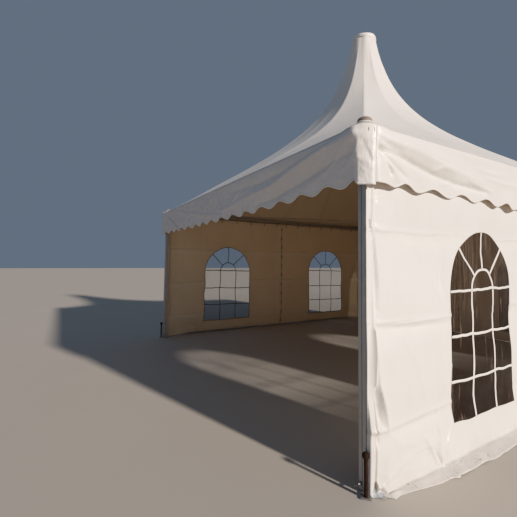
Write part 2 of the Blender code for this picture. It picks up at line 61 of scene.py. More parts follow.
# Phases of plane waves with seeded directions, starts and lengths; turn is the angle in one length
def seededWaves(a, b, turn, size, seed, waves, most):
    draw = np.random.default_rng(seed)
    angle = draw.uniform(0, math.tau, waves)
    pace = turn / size * draw.uniform(0.5, most, waves)
    start = draw.uniform(0, math.tau, waves)
    return a[..., None] * (pace * np.cos(angle)) + b[..., None] * (pace * np.sin(angle)) + start


# Smooth noise: a sum of seeded sine waves, as large as one wave on the whole
def softNoise(a, b, size, seed, waves=9):
    return np.sin(seededWaves(a, b, math.tau, size, seed, waves, 1.5)).sum(-1) / math.sqrt(waves)


# Creases: twice the mean of the ridges (1 - |sin|) ** sharp of seeded waves, from 0 to about 1
def creaseNoise(a, b, size, seed, waves=7, sharp=3.0):
    bend = 0.8 * softNoise(a, b, size * 2.5, seed + 1)
    phase = seededWaves(a, b, math.pi, size, seed, waves, 1.6) + bend[..., None]
    return ((1 - np.abs(np.sin(phase))) ** sharp).sum(-1) / waves * 2


# From 0 below low to 1 above high, as t * t * (3 - 2 * t)
def step(value, low, high):
    t = np.clip((value - low) / (high - low), 0, 1)
    return t * t * (3 - 2 * t)


# exp(-(distance / width) ** 2)
def hump(value, centre, width):
    return np.exp(-((value - centre) / width) ** 2)


# Distance from a polyline, and the share of its length at the nearest point
def fromLine(a, b, line):
    best = np.full(np.broadcast(a, b).shape, 1e9)
    share = np.zeros(best.shape)
    for index, (start, end) in enumerate(zip(line[:-1], line[1:])):
        da, db = end[0] - start[0], end[1] - start[1]
        t = np.clip(((a - start[0]) * da + (b - start[1]) * db) / (da * da + db * db), 0, 1)
        away = np.hypot(a - start[0] - t * da, b - start[1] - t * db)
        share = np.where(away < best, (index + t) / (len(line) - 1), share)
        best = np.minimum(best, away)
    return best, share


# A fold along a polyline: its height falls off as exp(-distance / width), and swells in the middle
def foldLine(a, b, line, width, height, keep):
    away, share = fromLine(a, b, line)
    swell = keep + (1 - keep) * np.sin(math.pi * np.clip(share * 0.92 + 0.06, 0, 1))
    return height * swell * np.exp(-away / width)


# Quarter turns about the mast: side coordinates become the frame's own
def onSide(side, along, out, height):
    along, out, height = np.broadcast_arrays(along, out, height)
    turn = turns[side] * math.pi / 2
    cosine, sine = round(math.cos(turn)), round(math.sin(turn))
    return np.stack([along * cosine + out * sine, along * sine - out * cosine + mastY, height], -1)


def addObject(name, data):
    made = bpy.data.objects.new(name, data)
    bpy.context.scene.collection.objects.link(made)
    return made


# Puts grids of points (rows, columns, 3) into one mesh: each square between four points is a
# face, and grids that meet are welded. A sheet has a thickness and faces away from the point at
# the height inside on the mast's line. The other pieces are closed.
def makePiece(name, grids, finishes, replaced=(), thickness=0.0, uvs=(), marks=None, sharp=None,
              inside=1.2):
    points, faces, start = [], [], 0
    for grid in grids:
        rows, columns = grid.shape[:2]
        index = np.arange(rows * columns).reshape(rows, columns) + start
        quads = np.stack([index[:-1, :-1], index[:-1, 1:], index[1:, 1:], index[1:, :-1]], -1)
        points.append(grid.reshape(-1, 3))
        faces.append(quads.reshape(-1, 4))
        start += rows * columns
    points, faces = np.concatenate(points), np.concatenate(faces)
    if thickness:
        corner = points[faces]
        normal = np.cross(corner[:, 2] - corner[:, 0], corner[:, 3] - corner[:, 1])
        if (normal * (corner.mean(1) - (0, mastY, inside))).sum() < 0:
            faces = faces[:, ::-1]
    mesh = bpy.data.meshes.new(name)
    mesh.vertices.add(len(points))
    mesh.vertices.foreach_set("co", points.ravel().astype(np.float32))
    mesh.loops.add(faces.size)
    mesh.loops.foreach_set("vertex_index", faces.ravel().astype(np.int32))
    mesh.polygons.add(len(faces))
    mesh.polygons.foreach_set("loop_start", np.arange(0, faces.size, 4, dtype=np.int32))
    mesh.update(calc_edges=True)
    if uvs:
        flat = np.concatenate([uv.reshape(-1, 2) for uv in uvs])[faces.ravel()]
        mesh.uv_layers.new(name="cloth").data.foreach_set("uv", flat.ravel().astype(np.float32))
    for mark, values in (marks or {}).items():
        layer = mesh.attributes.new(mark, "FLOAT", "POINT")
        layer.data.foreach_set("value", values.ravel().astype(np.float32))
    bm = bmesh.new()
    bm.from_mesh(mesh)
    bmesh.ops.remove_doubles(bm, verts=bm.verts, dist=2e-5)
    bmesh.ops.dissolve_degenerate(bm, edges=bm.edges, dist=1e-6)
    if not thickness:
        bmesh.ops.recalc_face_normals(bm, faces=bm.faces)
    bm.to_mesh(mesh)
    bm.free()
    mesh.shade_smooth()
    if sharp:
        mesh.set_sharp_from_angle(angle=math.radians(sharp))
    piece = addObject(name, mesh)
    for finish in finishes:
        mesh.materials.append(finish)
    if thickness:
        shell = piece.modifiers.new("cloth thickness", "SOLIDIFY")
        shell.thickness = thickness
        shell.offset = -1
        shell.material_offset = len(finishes) - 1
    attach(piece, "root")
    if replaced:
        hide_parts(*replaced)
    return piece


# A circle carried along a path, closed by a point at each end
def tube(path, radius, sides):
    path = np.asarray(path, float)
    along = np.gradient(path, axis=0)
    along /= np.linalg.norm(along, axis=1, keepdims=True)
    helper = np.where(np.abs(along[:, 2:]) > 0.9, [[1.0, 0, 0]], [[0, 0, 1.0]])
    across = np.cross(along, helper)
    across /= np.linalg.norm(across, axis=1, keepdims=True)
    rise = np.cross(across, along)
    angle = np.linspace(0, math.tau, sides + 1)[:, None]
    rings = path[:, None] + (across[:, None] * np.cos(angle) + rise[:, None] * np.sin(angle)) * radius
    ends = [np.broadcast_to(path[end], (1, sides + 1, 3)) for end in (0, -1)]
    return np.concatenate([ends[0], rings, ends[1]])


# A profile of (radius, height) turned about an upright axis, slightly out of round
def lathe(profile, centre, sides, wobble, seed):
    profile = np.asarray(profile, float)
    angle = np.linspace(0, math.tau, sides + 1)
    around, across = np.cos(angle), np.sin(angle)
    uneven = softNoise(around + profile[:, 1:] * 30, across + 0 * profile[:, 1:], 1.3, seed)
    radius = profile[:, :1] * (1 + wobble * uneven)
    return np.stack([centre[0] + radius * around, centre[1] + radius * across,
                     centre[2] + profile[:, 1:] + 0 * angle], -1)


# Links values to a node's sockets, or sets them
def fill(node, sockets):
    for key, value in sockets.items():
        if isinstance(value, bpy.types.NodeSocket):
            node.id_data.links.new(value, node.inputs[key])
        else:
            node.inputs[key].default_value = value


# A node in the tree of the first linked value that it takes
def addNode(kind, sockets, output=0, **settings):
    linked = [value for value in sockets.values() if isinstance(value, bpy.types.NodeSocket)]
    made = linked[0].id_data.nodes.new("ShaderNode" + kind)
    for key, value in settings.items():
        setattr(made, key, value)
    fill(made, sockets)
    return made.outputs[output]


def newFinish(name, **sockets):
    finish = bpy.data.materials.new(name)
    finish.use_nodes = True
    made = finish.node_tree.nodes
    fill(made["Principled BSDF"], {key.replace("_", " "): value for key, value in sockets.items()})
    return finish, made["Principled BSDF"], made.new("ShaderNodeTexCoord").outputs["Object"]


def noise(place, scale, detail=3.0, stretch=(1, 1, 1), rough=0.55):
    moved = addNode("Mapping", {"Vector": place, "Scale": stretch})
    return addNode("TexNoise", {"Vector": moved, "Scale": scale, "Detail": detail, "Roughness": rough}, "Fac")


def ramp(value, low, high, first=0.0, last=1.0):
    return addNode("MapRange", {"Value": value, "From Min": low, "From Max": high, "To Min": first,
                                "To Max": last})


def maths(operation, first, second=0.0):
    return addNode("Math", {0: first, 1: second}, operation=operation)


def times(first, second):
    return maths("MULTIPLY", first, second)


def plus(first, second):
    return maths("ADD", first, second)


# The distance between two values
def apart(first, second):
    return maths("ABSOLUTE", maths("SUBTRACT", first, second))


def mix(share, first, second):
    return addNode("Mix", {0: share, 6: first, 7: second}, 2, data_type="RGBA")


def bump(height, distance, strength=1.0, **under):
    return addNode("Bump", {"Height": height, "Distance": distance, "Strength": strength, **under})


def axis(place, letter):
    return addNode("SeparateXYZ", {"Vector": place}, letter)


def cells(place, scale, **settings):
    return addNode("TexVoronoi", {"Vector": place, "Scale": scale}, "Distance", **settings)


# A value that a mesh holds for each of its points
def marked(place, name):
    made = place.id_data.nodes.new("ShaderNodeAttribute")
    made.attribute_name = name
    return made.outputs["Fac"]


# Coated cloth, outside and inside. The inside colours are tan: painted warm light, for sun coming through the
# cloth and light bounced warm off the ground.
canvas = {
    "base": ((0.79, 0.762, 0.728, 1), (0.88, 0.68, 0.44, 1)),
    "streak": ((0.70, 0.67, 0.635, 1), (0.72, 0.52, 0.32, 1)),
    "seamEdge": ((0.45, 0.39, 0.34, 1), (0.20, 0.13, 0.08, 1)), "seamShare": (0.35, 1.0),
    # the crease colours: painted shade on the storage creases, and a paler painted highlight below them
    "creaseShade": ((0.60, 0.56, 0.52, 1), (0.42, 0.30, 0.19, 1)),
    # flap: a paler copy of the cloth for the corner flap, painted light for its sunlit face
    "flap": (0.90, 0.87, 0.83, 1), "dirt": (0.17, 0.115, 0.075, 1), "creaseLit": (0.90, 0.84, 0.76, 1),
    "darkTriangle": (0.15, 0.13, 0.085, 1), "darkTriangleLow": (0.36, 0.40, 0.43, 1),
    "darkTriangleY": -2.518, "darkTriangleSlope": 0.447,
    "gloss": (0.32, 0.47), "seamWidth": 0.022, "weave": 0.0016, "facetScale": 13.0, "creaseTone": 0.65,
    "ridges": 0.10,              # storage creases, as a share of the relief
}


# Pale colour with slow tone changes and upright streaks. Where asked for: welded seams where the
# mark "seam" is less than their width, dark along their edges; painted shade along the storage
# creases with a band of painted highlight below each; dirt and specks near the ground, and a dark
# triangle by a leg, olive-dark above and blue-grey below; and sharp facets where "crumpled" is high.
# The relief is Voronoi ridges with two noises, and a fine weave.
def canvasFinish(name, inner=False, seams=False, dirty=False, streaks=0.35, crumple=1.0, creases=(),
                 facets=0.0, tone=None):
    c = canvas
    finish, shader, place = newFinish(name)
    # The inside colours are tan: painted warm light. A given tone replaces the base: darker for the front
    # valance, painted shade, and orange-tan for the valances' inside, painted glow.
    base, dark = tone or c["base"][inner], c["streak"][inner]
    if facets:                                       # the flap round the corner gets a paler copy of the cloth: painted light for its sunlit face
        base = mix(marked(place, "flap"), base, c["flap"])
    colour = mix(ramp(noise(place, 1.3, 2.0), 0.35, 0.7, 0.0, 0.35), base, dark)
    colour = mix(ramp(noise(place, 1.0, 4.0, (26, 26, 0.9)), 0.5, 0.85, 0.0, streaks), colour, dark)
    if seams:
        seam = marked(place, "seam")
        band = ramp(seam, c["seamWidth"], c["seamWidth"] * 1.15, 1.0, 0.0)
        edge = ramp(apart(seam, c["seamWidth"]), 0.0, 0.005, 0.55, 0.0)
        colour = mix(times(band, 0.18), colour, dark)
        colour = mix(times(edge, c["seamShare"][inner]), colour, c["seamEdge"][inner])
    height = axis(place, "Z")
    if creases:
        level = plus(height, ramp(noise(place, 1.4), 0.2, 0.8, -0.05, 0.05))
        creasePatchy = ramp(noise(place, 2.6), 0.35, 0.62, 0.15, 1.0)
    # painted shade on each storage crease, and painted highlight in a band below it, both patchy
    for crease in creases:
        line = ramp(apart(level, crease), 0.0, 0.009, c["creaseTone"], 0.0)
        colour = mix(times(line, creasePatchy), colour, c["creaseShade"][inner])
        creaseLit = ramp(apart(level, crease - 0.06), 0.0, 0.06, 0.35, 0.0)
        colour = mix(times(creaseLit, creasePatchy), colour, c["creaseLit"])
    if dirty:
        patches = ramp(noise(place, 2.2, 2.0), 0.52, 0.60)
        specks = times(ramp(noise(place, 55.0, 4.0), 0.60, 0.64), patches)
        specks = times(specks, ramp(height, 0.0, 0.025, 1.0, 0.0))
        dust = times(ramp(height, 0.0, 0.10, 1.0, 0.0), ramp(noise(place, 6.0, 5.0), 0.35, 0.8, 0.0, 0.28))
        soil = plus(maths("MAXIMUM", specks, dust), ramp(height, 0.0, 1.2, 0.13, 0.0))
        colour = mix(soil, colour, c["dirt"])
        # the dark triangle by the leg, olive-dark above and blue-grey below: |y - middle| + slope * z is least in
        # it
        away = plus(apart(axis(place, "Y"), c["darkTriangleY"]), times(height, c["darkTriangleSlope"]))
        away = plus(away, times(noise(place, 45.0), 0.010))
        darkTriangle = times(ramp(away, 0.040, 0.046, 0.92, 0.0), ramp(axis(place, "X"), 2.3, 2.4))
        colour = mix(darkTriangle, colour, mix(ramp(height, 0.024, 0.042), c["darkTriangleLow"], c["darkTriangle"]))
    ridges = ramp(cells(place, 3.3, feature="DISTANCE_TO_EDGE"), 0.0, 0.05, 1.0, 0.0)
    pulls = plus(noise(place, 4.0, 5.0), times(noise(place, 1.0, 3.0, (9, 9, 1.6)), 0.8))
    relief = bump(plus(times(ridges, c["ridges"] / crumple), pulls), 0.004 * crumple)
    if facets:
        rough = plus(cells(place, c["facetScale"]), noise(place, 22.0, 4.0, (1, 1, 1.8), 0.6))
        relief = bump(times(rough, marked(place, "crumpled")), facets, Normal=relief)
    relief = bump(noise(place, 1.0 / c["weave"], 1.0), 0.00012, 0.6, Normal=relief)
    if seams:
        relief = bump(band, 0.0004, Normal=relief)
    gloss = ramp(noise(place, 5.0), 0.3, 0.7, *c["gloss"])
    fill(shader, {"Base Color": colour, "Roughness": gloss, "Normal": relief})
    return finish


# Window film: smoky and clear. Fine upright runs of old rain, dense near the arch, fade
# further down, and a few broad pale ones go all the way down.
film = {"tint": (0.011, 0.005, 0.003, 1), "streak": (0.26, 0.19, 0.14, 1), "runsTop": 1.62, "runsEnd": 0.70}


# The opacity is given for heights below 0.30 m and above 0.75 m, and strength is that of the runs. Where the film
# is denser low down, its near-black tint there is painted shade, for the shaded ground seen through it.
def filmFinish(name, opacity, strength):
    finish, shader, place = newFinish(name, Roughness=0.08, Specular_IOR_Level=0.18)
    height = axis(place, "Z")
    fine = ramp(noise(place, 1.0, 6.0, (95, 95, 1.1), 0.7), 0.40, 0.64)
    patch = ramp(noise(place, 1.0, 2.0, (5, 5, 1.5)), 0.30, 0.62, 0.25, 1.0)
    fine = times(times(fine, patch), ramp(height, film["runsEnd"], film["runsTop"]))
    broad = ramp(noise(place, 1.0, 3.0, (34, 34, 2.2)), 0.60, 0.70, 0.0, 0.7)
    runs = times(maths("MAXIMUM", fine, broad), strength)
    alpha = maths("MAXIMUM", ramp(height, 0.30, 0.75, *opacity), ramp(runs, 0.0, 0.6, 0.0, 0.97))
    fill(shader, {"Base Color": mix(runs, film["tint"], film["streak"]), "Alpha": alpha,
                  "Normal": bump(noise(place, 5.0, 2.0), 0.006)})
    return finish


# Metal drawn along its length: long fine lines in tone, gloss and bump, with a few stains, and
# with the spangle of zinc where asked for
def metalFinish(name, colour, dark, roughness, stretch, metallic=1.0, spangle=False):
    finish, shader, place = newFinish(name, Metallic=metallic)
    lines = noise(place, 1.0, 3.0, stretch)
    tone = mix(ramp(lines, 0.3, 0.7, 0.0, 0.5), colour, dark)
    if spangle:
        tone = mix(ramp(cells(place, 90.0), 0.1, 0.6, 0.0, 0.5), tone, dark)
    tone = mix(ramp(noise(place, 9.0, 5.0), 0.45, 0.75, 0.0, 0.55), tone, dark)
    fill(shader, {"Base Color": tone, "Roughness": ramp(lines, 0.3, 0.7, roughness - 0.07, roughness + 0.09),
                  "Normal": bump(lines, 0.0004, 0.5)})
    return finish


# Rust: brown scale in patches from dark to orange, rough and pitted
def rustFinish(name):
    finish, shader, place = newFinish(name, Metallic=0.1, Specular_IOR_Level=0.1)
    patch = ramp(noise(place, 40.0, 6.0), 0.35, 0.68)
    pits = noise(place, 260.0, 4.0)
    tone = mix(patch, (0.010, 0.005, 0.0035, 1), (0.030, 0.013, 0.008, 1))
    tone = mix(ramp(pits, 0.55, 0.75, 0.0, 0.6), tone, (0.055, 0.025, 0.014, 1))
    fill(shader, {"Base Color": tone, "Roughness": ramp(pits, 0.3, 0.7, 0.55, 0.9),
                  "Normal": bump(pits, 0.0016)})
    return finish


# Weathered plastic or rope: two tones in fine patches with a matching grain
def mattFinish(name, colour, dark, scale):
    finish, shader, place = newFinish(name)
    patch = noise(place, scale, 5.0)
    fill(shader, {"Base Color": mix(ramp(patch, 0.35, 0.65), colour, dark),
                  "Roughness": ramp(patch, 0.3, 0.7, 0.5, 0.75),
                  "Normal": bump(noise(place, scale * 4), 0.0008)})
    return finish


creaseLevels = (0.366, 1.0, 1.61)      # storage creases across the walls
roofOuter = canvasFinish("roof cloth, weather side", seams=True, crumple=0.7, streaks=0.2)
roofInner = canvasFinish("roof cloth, inside, painted warm light", inner=True, seams=True, crumple=0.4)
valanceOuter = canvasFinish("valance cloth, outside", streaks=0.3, crumple=2.0)
# The front valance gets a darker copy of the cloth: painted shade for its side away from the sun.
frontShadedOuter = canvasFinish("front valance cloth, outside", streaks=0.3, crumple=2.4, facets=0.014,
                          tone=(0.70, 0.69, 0.69, 1))
# The valances' inside is orange-tan: painted glow of sun coming through the cloth.
valanceInner = canvasFinish("valance cloth, inside, painted glow", inner=True, tone=(0.88, 0.56, 0.24, 1))
wallOuter = canvasFinish("wall cloth, outside, painted crease shade", dirty=True, crumple=2.2, creases=creaseLevels)
wallInner = canvasFinish("wall cloth, inside, painted warm light and crease shade", inner=True, dirty=True, crumple=2.0, creases=creaseLevels)
hoodCloth = canvasFinish("hood cloth", crumple=0.8)
barCloth = canvasFinish("window bar cloth", streaks=0.1, crumple=0.3)
# The bars' inside is dark brown: painted shade, as the bars are pale cloth.
barShadedInner = mattFinish("window bar, inside, painted shade", (0.20, 0.165, 0.135, 1), (0.13, 0.105, 0.085, 1), 40.0)
# The photo shows the left windows from inside, cleaner, and none of the back ones
# the right windows' film is dense and near-black low down: painted shade
films = {"right": filmFinish("window film", (0.78, 0.28), 0.72),
         "left": filmFinish("window film, cleaner", (0.28, 0.15), 0.2),
         "back": filmFinish("window film, duller", (0.84, 0.80), 0.72)}
profileAlloy = metalFinish("drawn alloy", (0.48, 0.475, 0.465, 1), (0.32, 0.315, 0.305, 1), 0.45,
                           (150, 150, 2.5), 0.55)
beamAlloy = metalFinish("drawn alloy, beams", (0.42, 0.42, 0.42, 1), (0.27, 0.26, 0.25, 1), 0.42,
                        (40, 40, 40))
zincSteel = metalFinish("galvanised steel", (0.40, 0.40, 0.40, 1), (0.24, 0.235, 0.23, 1), 0.5, (30, 30, 30),
                        0.85, True)
rustySteel = rustFinish("rusty steel")
capPlastic = mattFinish("cap plastic", (0.235, 0.185, 0.150, 1), (0.155, 0.120, 0.098, 1), 60.0)
darkFitting = mattFinish("dark fitting", (0.030, 0.026, 0.022, 1), (0.060, 0.052, 0.045, 1), 120.0)
cordCloth = mattFinish("lacing cord", (0.055, 0.045, 0.038, 1), (0.10, 0.085, 0.07, 1), 300.0)
print("finishes made")

# The tensioned roof
roofShape = {
    "neckRadius": 0.187, "neckZ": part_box("roof_membrane")[1].z, "eaveZ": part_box("roof_membrane")[0].z + 0.003,
    "softness": 0.1266, "logShare": 0.894, "squaring": 1.37, "trimFade": 12,
    "seamOut": 1.06,             # the outer seams reach the eave this far from mid-side
    "goreStart": 0.04,           # share of the way down where the cloth has flat gores
    "goreRound": 0.016,          # softens the bend at each seam, in radians
    "cornerCut": 0.145 / root2,
    "cornerRound": 48.0,         # larger folds the cloth more tightly at the corners
    "headZ": 2.2865, "headReach": 0.052, "headSlope": 0.50,
    "sag": 0.008,                # of the cloth between two seams
    "pulls": 0.0045, "swells": 0.003, "ripple": 0.0022, "slack": 0.004,      # heights of the wrinkles
    "rows": ((0, 0.05, 20), (0.05, 0.22, 16), (0.22, 0.93, 36), (0.93, 1, 22)),      # of the mesh
    "thickness": 0.0012,
}


# The plan at one height: flat gores between the hips, at a distance of 1, and the two seams
# beside the middle of each side, which is at the distance given
def gored(angle, middle):
    turned = np.abs((angle + math.pi / 4) % (math.pi / 2) - math.pi / 4)
    slope = roofShape["seamOut"] / eaveHalf
    run, rise = 1 / root2 - middle, 1 / root2 - middle * slope
    flank = middle * (rise - slope * run) / (np.cos(turned) * rise - np.sin(turned) * run)
    return np.where(np.tan(turned) < slope, middle / np.cos(turned), flank)


# The same with a slight round in place of each bend
def softGored(angle, middle):
    turn = roofShape["goreRound"]
    return (gored(angle - turn, middle) + 2 * gored(angle, middle) + gored(angle + turn, middle)) / 4


# Distance from the mast to the eave: the smooth least of the square's and the cut corner's
def eaveReach(angle):
    cosine, sine = np.abs(np.cos(angle)), np.abs(np.sin(angle))
    square = eaveHalf / np.maximum(cosine, sine)
    cut = (2 * eaveHalf - roofShape["cornerCut"]) / (cosine + sine)
    k = roofShape["cornerRound"]
    least = np.minimum(square, cut)
    return least - np.log(np.exp(-k * (square - least)) + np.exp(-k * (cut - least))) / k


# Rings from a circle at the neck, soon gored, to nearly a square at the eave. Their height falls
# mostly with the logarithm of 1 + distance / softness and a little with the square of the
# distance, and the cloth is lifted over each corner head.
def roofSurface(angle, share):
    r = roofShape
    corner = eaveHalf * root2
    reach = corner - r["neckRadius"]
    drop = (r["logShare"] * np.log(1 + share * reach / r["softness"]) / math.log(1 + reach / r["softness"])
            + (1 - r["logShare"]) * share ** 2)
    middle = root2 ** -(drop ** r["squaring"])
    section = 1 + (softGored(angle, middle) - 1) * np.minimum(share / r["goreStart"], 1)
    radius = (r["neckRadius"] + share * reach) * section
    untrimmed = corner * softGored(angle, 1 / root2)
    radius = radius * (1 - (1 - eaveReach(angle) / untrimmed) * share ** r["trimFade"])
    height = r["neckZ"] - (r["neckZ"] - r["eaveZ"]) * drop
    x, y = radius * np.cos(angle), radius * np.sin(angle)
    away = np.hypot(np.abs(x) - half, np.abs(y) - half)
    over = r["headZ"] - r["headSlope"] * np.maximum(away - r["headReach"], 0)
    lifted = np.logaddexp(height * 160, over * 160) / 160
    height = np.where(away < 0.5, lifted, height)
    return x, y, height


def buildRoof():
    r = roofShape
    bend = math.atan2(r["seamOut"], eaveHalf)
    quarters = np.arange(4) * math.pi / 2
    seams = np.array([0, bend, math.pi / 4, math.pi / 2 - bend])
    seams = np.concatenate([seams + quarter for quarter in quarters] + [[math.tau]])
    angles = [low + (high - low) * np.linspace(0, 1, 19)[:-1] for low, high in zip(seams[:-1], seams[1:])]
    angles += [quarter + math.pi / 4 + np.linspace(-0.05, 0.05, 27) for quarter in quarters]
    angles = np.unique(np.round(np.concatenate(angles + [[math.tau]]), 6))
    rows = [np.linspace(low, high, count)[:-1] for low, high, count in r["rows"]]
    angle, share = np.meshgrid(angles, np.concatenate(rows + [[1.0]]))
    x, y, z = roofSurface(angle, share)
    place = np.clip(np.searchsorted(seams, angle % math.tau + 1e-6, side="right") - 1, 0, len(seams) - 2)
    between = (angle - seams[place]) / (seams[place + 1] - seams[place])
    seamAway = np.hypot(x, y) * np.minimum(angle - seams[place], seams[place + 1] - angle)
    middle = step(share, 0.05, 0.3) * (1 - step(share, 0.85, 1.0))
    z = z - r["sag"] * 4 * between * (1 - between) * middle
    # faint slanting pulls below the neck, slow swells, and small wrinkles above the eave
    slant = angle + share * 2.2
    pull = creaseNoise(np.cos(slant) * 1.2, np.sin(slant) * 1.2 + share, 0.30, 11, 8, 4.0)
    radial = r["pulls"] * (pull - 0.4) * np.exp(-share / 0.07) * step(share, 0.003, 0.03)
    swell = softNoise(np.cos(angle) * 1.5, np.sin(angle) * 1.5 + share * 6, 1.1, 12)
    radial += r["swells"] * swell * np.exp(-share / 0.15)
    ripple, slack = softNoise(x, y, 0.55, 13), creaseNoise(x, y, 0.30, 14, 7, 4.0)
    x, y = x + radial * np.cos(angle), y + radial * np.sin(angle)
    z = z + r["ripple"] * ripple * step(share, 0.2, 0.5) * (1 - step(share, 0.96, 1.0))
    z = z + r["slack"] * slack * step(share, 0.80, 0.93) * (1 - step(share, 0.97, 1.0))
    grid, uv = np.stack([x, y + mastY, z], -1), np.stack([angle * 2.0, share * 4.5], -1)
    piece = makePiece("roofMembrane", [grid], [roofOuter, roofInner], ["roof_membrane"],
                      r["thickness"], [uv], {"seam": seamAway})


buildRoof()
print("roof made")

# Valances: the plan follows the eave, and the straight flap goes round one corner
valance = {
    "low": 1.852, "depth": 0.040, "scallops": 16, "flapLow": 1.877,
    "flare": 0.007,              # how far the lower edge waves in and out
    "lean": 0.030,               # how far the lower edge hangs inwards
    "thickness": 0.0011,
    "foldShare": 2.2,            # of the heights listed below
    "slant": ((0.02, 2.20), (0.075, 2.09), (0.12, 1.95), (0.13, 1.88)),      # of the flap's fold
    "columns": 640, "bendColumns": 56, "rows": 30,
    "drop": 0.0025,              # of its top below the roof's edge
    "hem": (0.015, 0.0009),      # its width and how proud it is
}
# Folds: a line in metres along the side from its middle and up, its width, height and how
# much of the height is left at its ends
valanceFolds = {
    "front": [([(2.51, 2.225), (2.295, 2.189), (1.94, 2.133), (1.48, 2.043), (1.1, 2.022)], 0.050,
               0.020, 0.5),
              ([(2.45, 2.10), (2.0, 2.03), (1.5, 1.95), (1.2, 1.93)], 0.035, -0.016, 0.4),
              ([(2.2, 2.20), (1.7, 2.14), (1.2, 2.12), (0.6, 2.14)], 0.030, -0.010, 0.3),
              ([(2.50, 2.20), (2.2, 2.02), (1.9, 1.93)], 0.02, 0.005, 0.2),
              ([(1.2, 2.04), (0.6, 1.98), (0.2, 1.97)], 0.03, 0.010, 0.3),
              ([(-1.3, 2.13), (-0.4, 2.0), (0.49, 1.90)], 0.014, 0.007, 0.4),
              ([(-2.17, 2.20), (-1.8, 2.03), (-1.38, 1.885)], 0.012, -0.016, 0.6),
              ([(-2.3, 2.18), (-2.1, 2.02), (-2.0, 1.9)], 0.014, 0.008, 0.4),
              ([(0.17, 2.23), (-0.2, 2.05), (-0.4, 1.95)], 0.012, 0.006, 0.3),
              ([(0.17, 2.23), (0.3, 2.04), (0.42, 1.93)], 0.012, 0.006, 0.3),
              ([(0.9, 2.2), (0.7, 2.05), (0.45, 1.95)], 0.012, 0.006, 0.3)],
    "right": [([(-2.49, 2.115), (-2.397, 2.02), (-2.372, 1.965)], 0.011, -0.014, 0.5),
              ([(-2.46, 2.08), (-2.38, 2.02), (-2.29, 1.93)], 0.018, 0.006, 0.3),
              ([(-2.48, 2.115), (-2.351, 2.027), (-2.215, 1.955)], 0.012, -0.011, 0.5),
              ([(-2.485, 2.113), (-2.312, 2.092), (-2.143, 2.059), (-1.927, 2.021), (-1.764, 2.0),
                (-1.536, 1.984), (-1.256, 1.969)], 0.020, -0.017, 0.5),
              ([(-2.42, 2.175), (-2.079, 2.132), (-1.7, 2.08), (-1.312, 2.035)], 0.055, 0.011, 0.4),
              ([(-2.49, 2.172), (-2.405, 2.141), (-2.29, 2.120)], 0.010, -0.007, 0.4),
              ([(-2.44, 2.215), (-2.1, 2.16), (-1.6, 2.13)], 0.03, 0.005, 0.3),
              ([(-1.95, 2.04), (-1.84, 2.08), (-1.70, 2.07)], 0.018, 0.007, 0.2),
              ([(-1.9, 2.0), (-1.78, 1.97), (-1.66, 2.0)], 0.014, 0.005, 0.2),
              ([(-1.5, 2.03), (-1.3, 1.99), (-1.15, 1.97)], 0.02, 0.007, 0.2),
              ([(-1.4, 2.14), (-1.2, 2.12), (-0.95, 2.14)], 0.014, 0.005, 0.2),
              ([(-1.3, 2.08), (-1.0, 2.06), (-0.6, 2.08)], 0.014, 0.005, 0.2)],
}
for side, like in (("back", "front"), ("left", "right")):
    valanceFolds[side] = [([(-a, b) for a, b in line], *rest) for line, *rest in valanceFolds[like][:8]]
# Scallops that are a little wider or narrower than the rest: distance along, and count so far
scallopDrift = {"right": ((-2.342, 0.5), (-2.233, 1), (-2.072, 1.5), (-1.914, 2), (-1.704, 2.5), (-1.573, 3),
                          (-1.388, 3.5), (-1.253, 4), (-1.076, 4.5), (-0.957, 5), (-0.82, 5.5))}


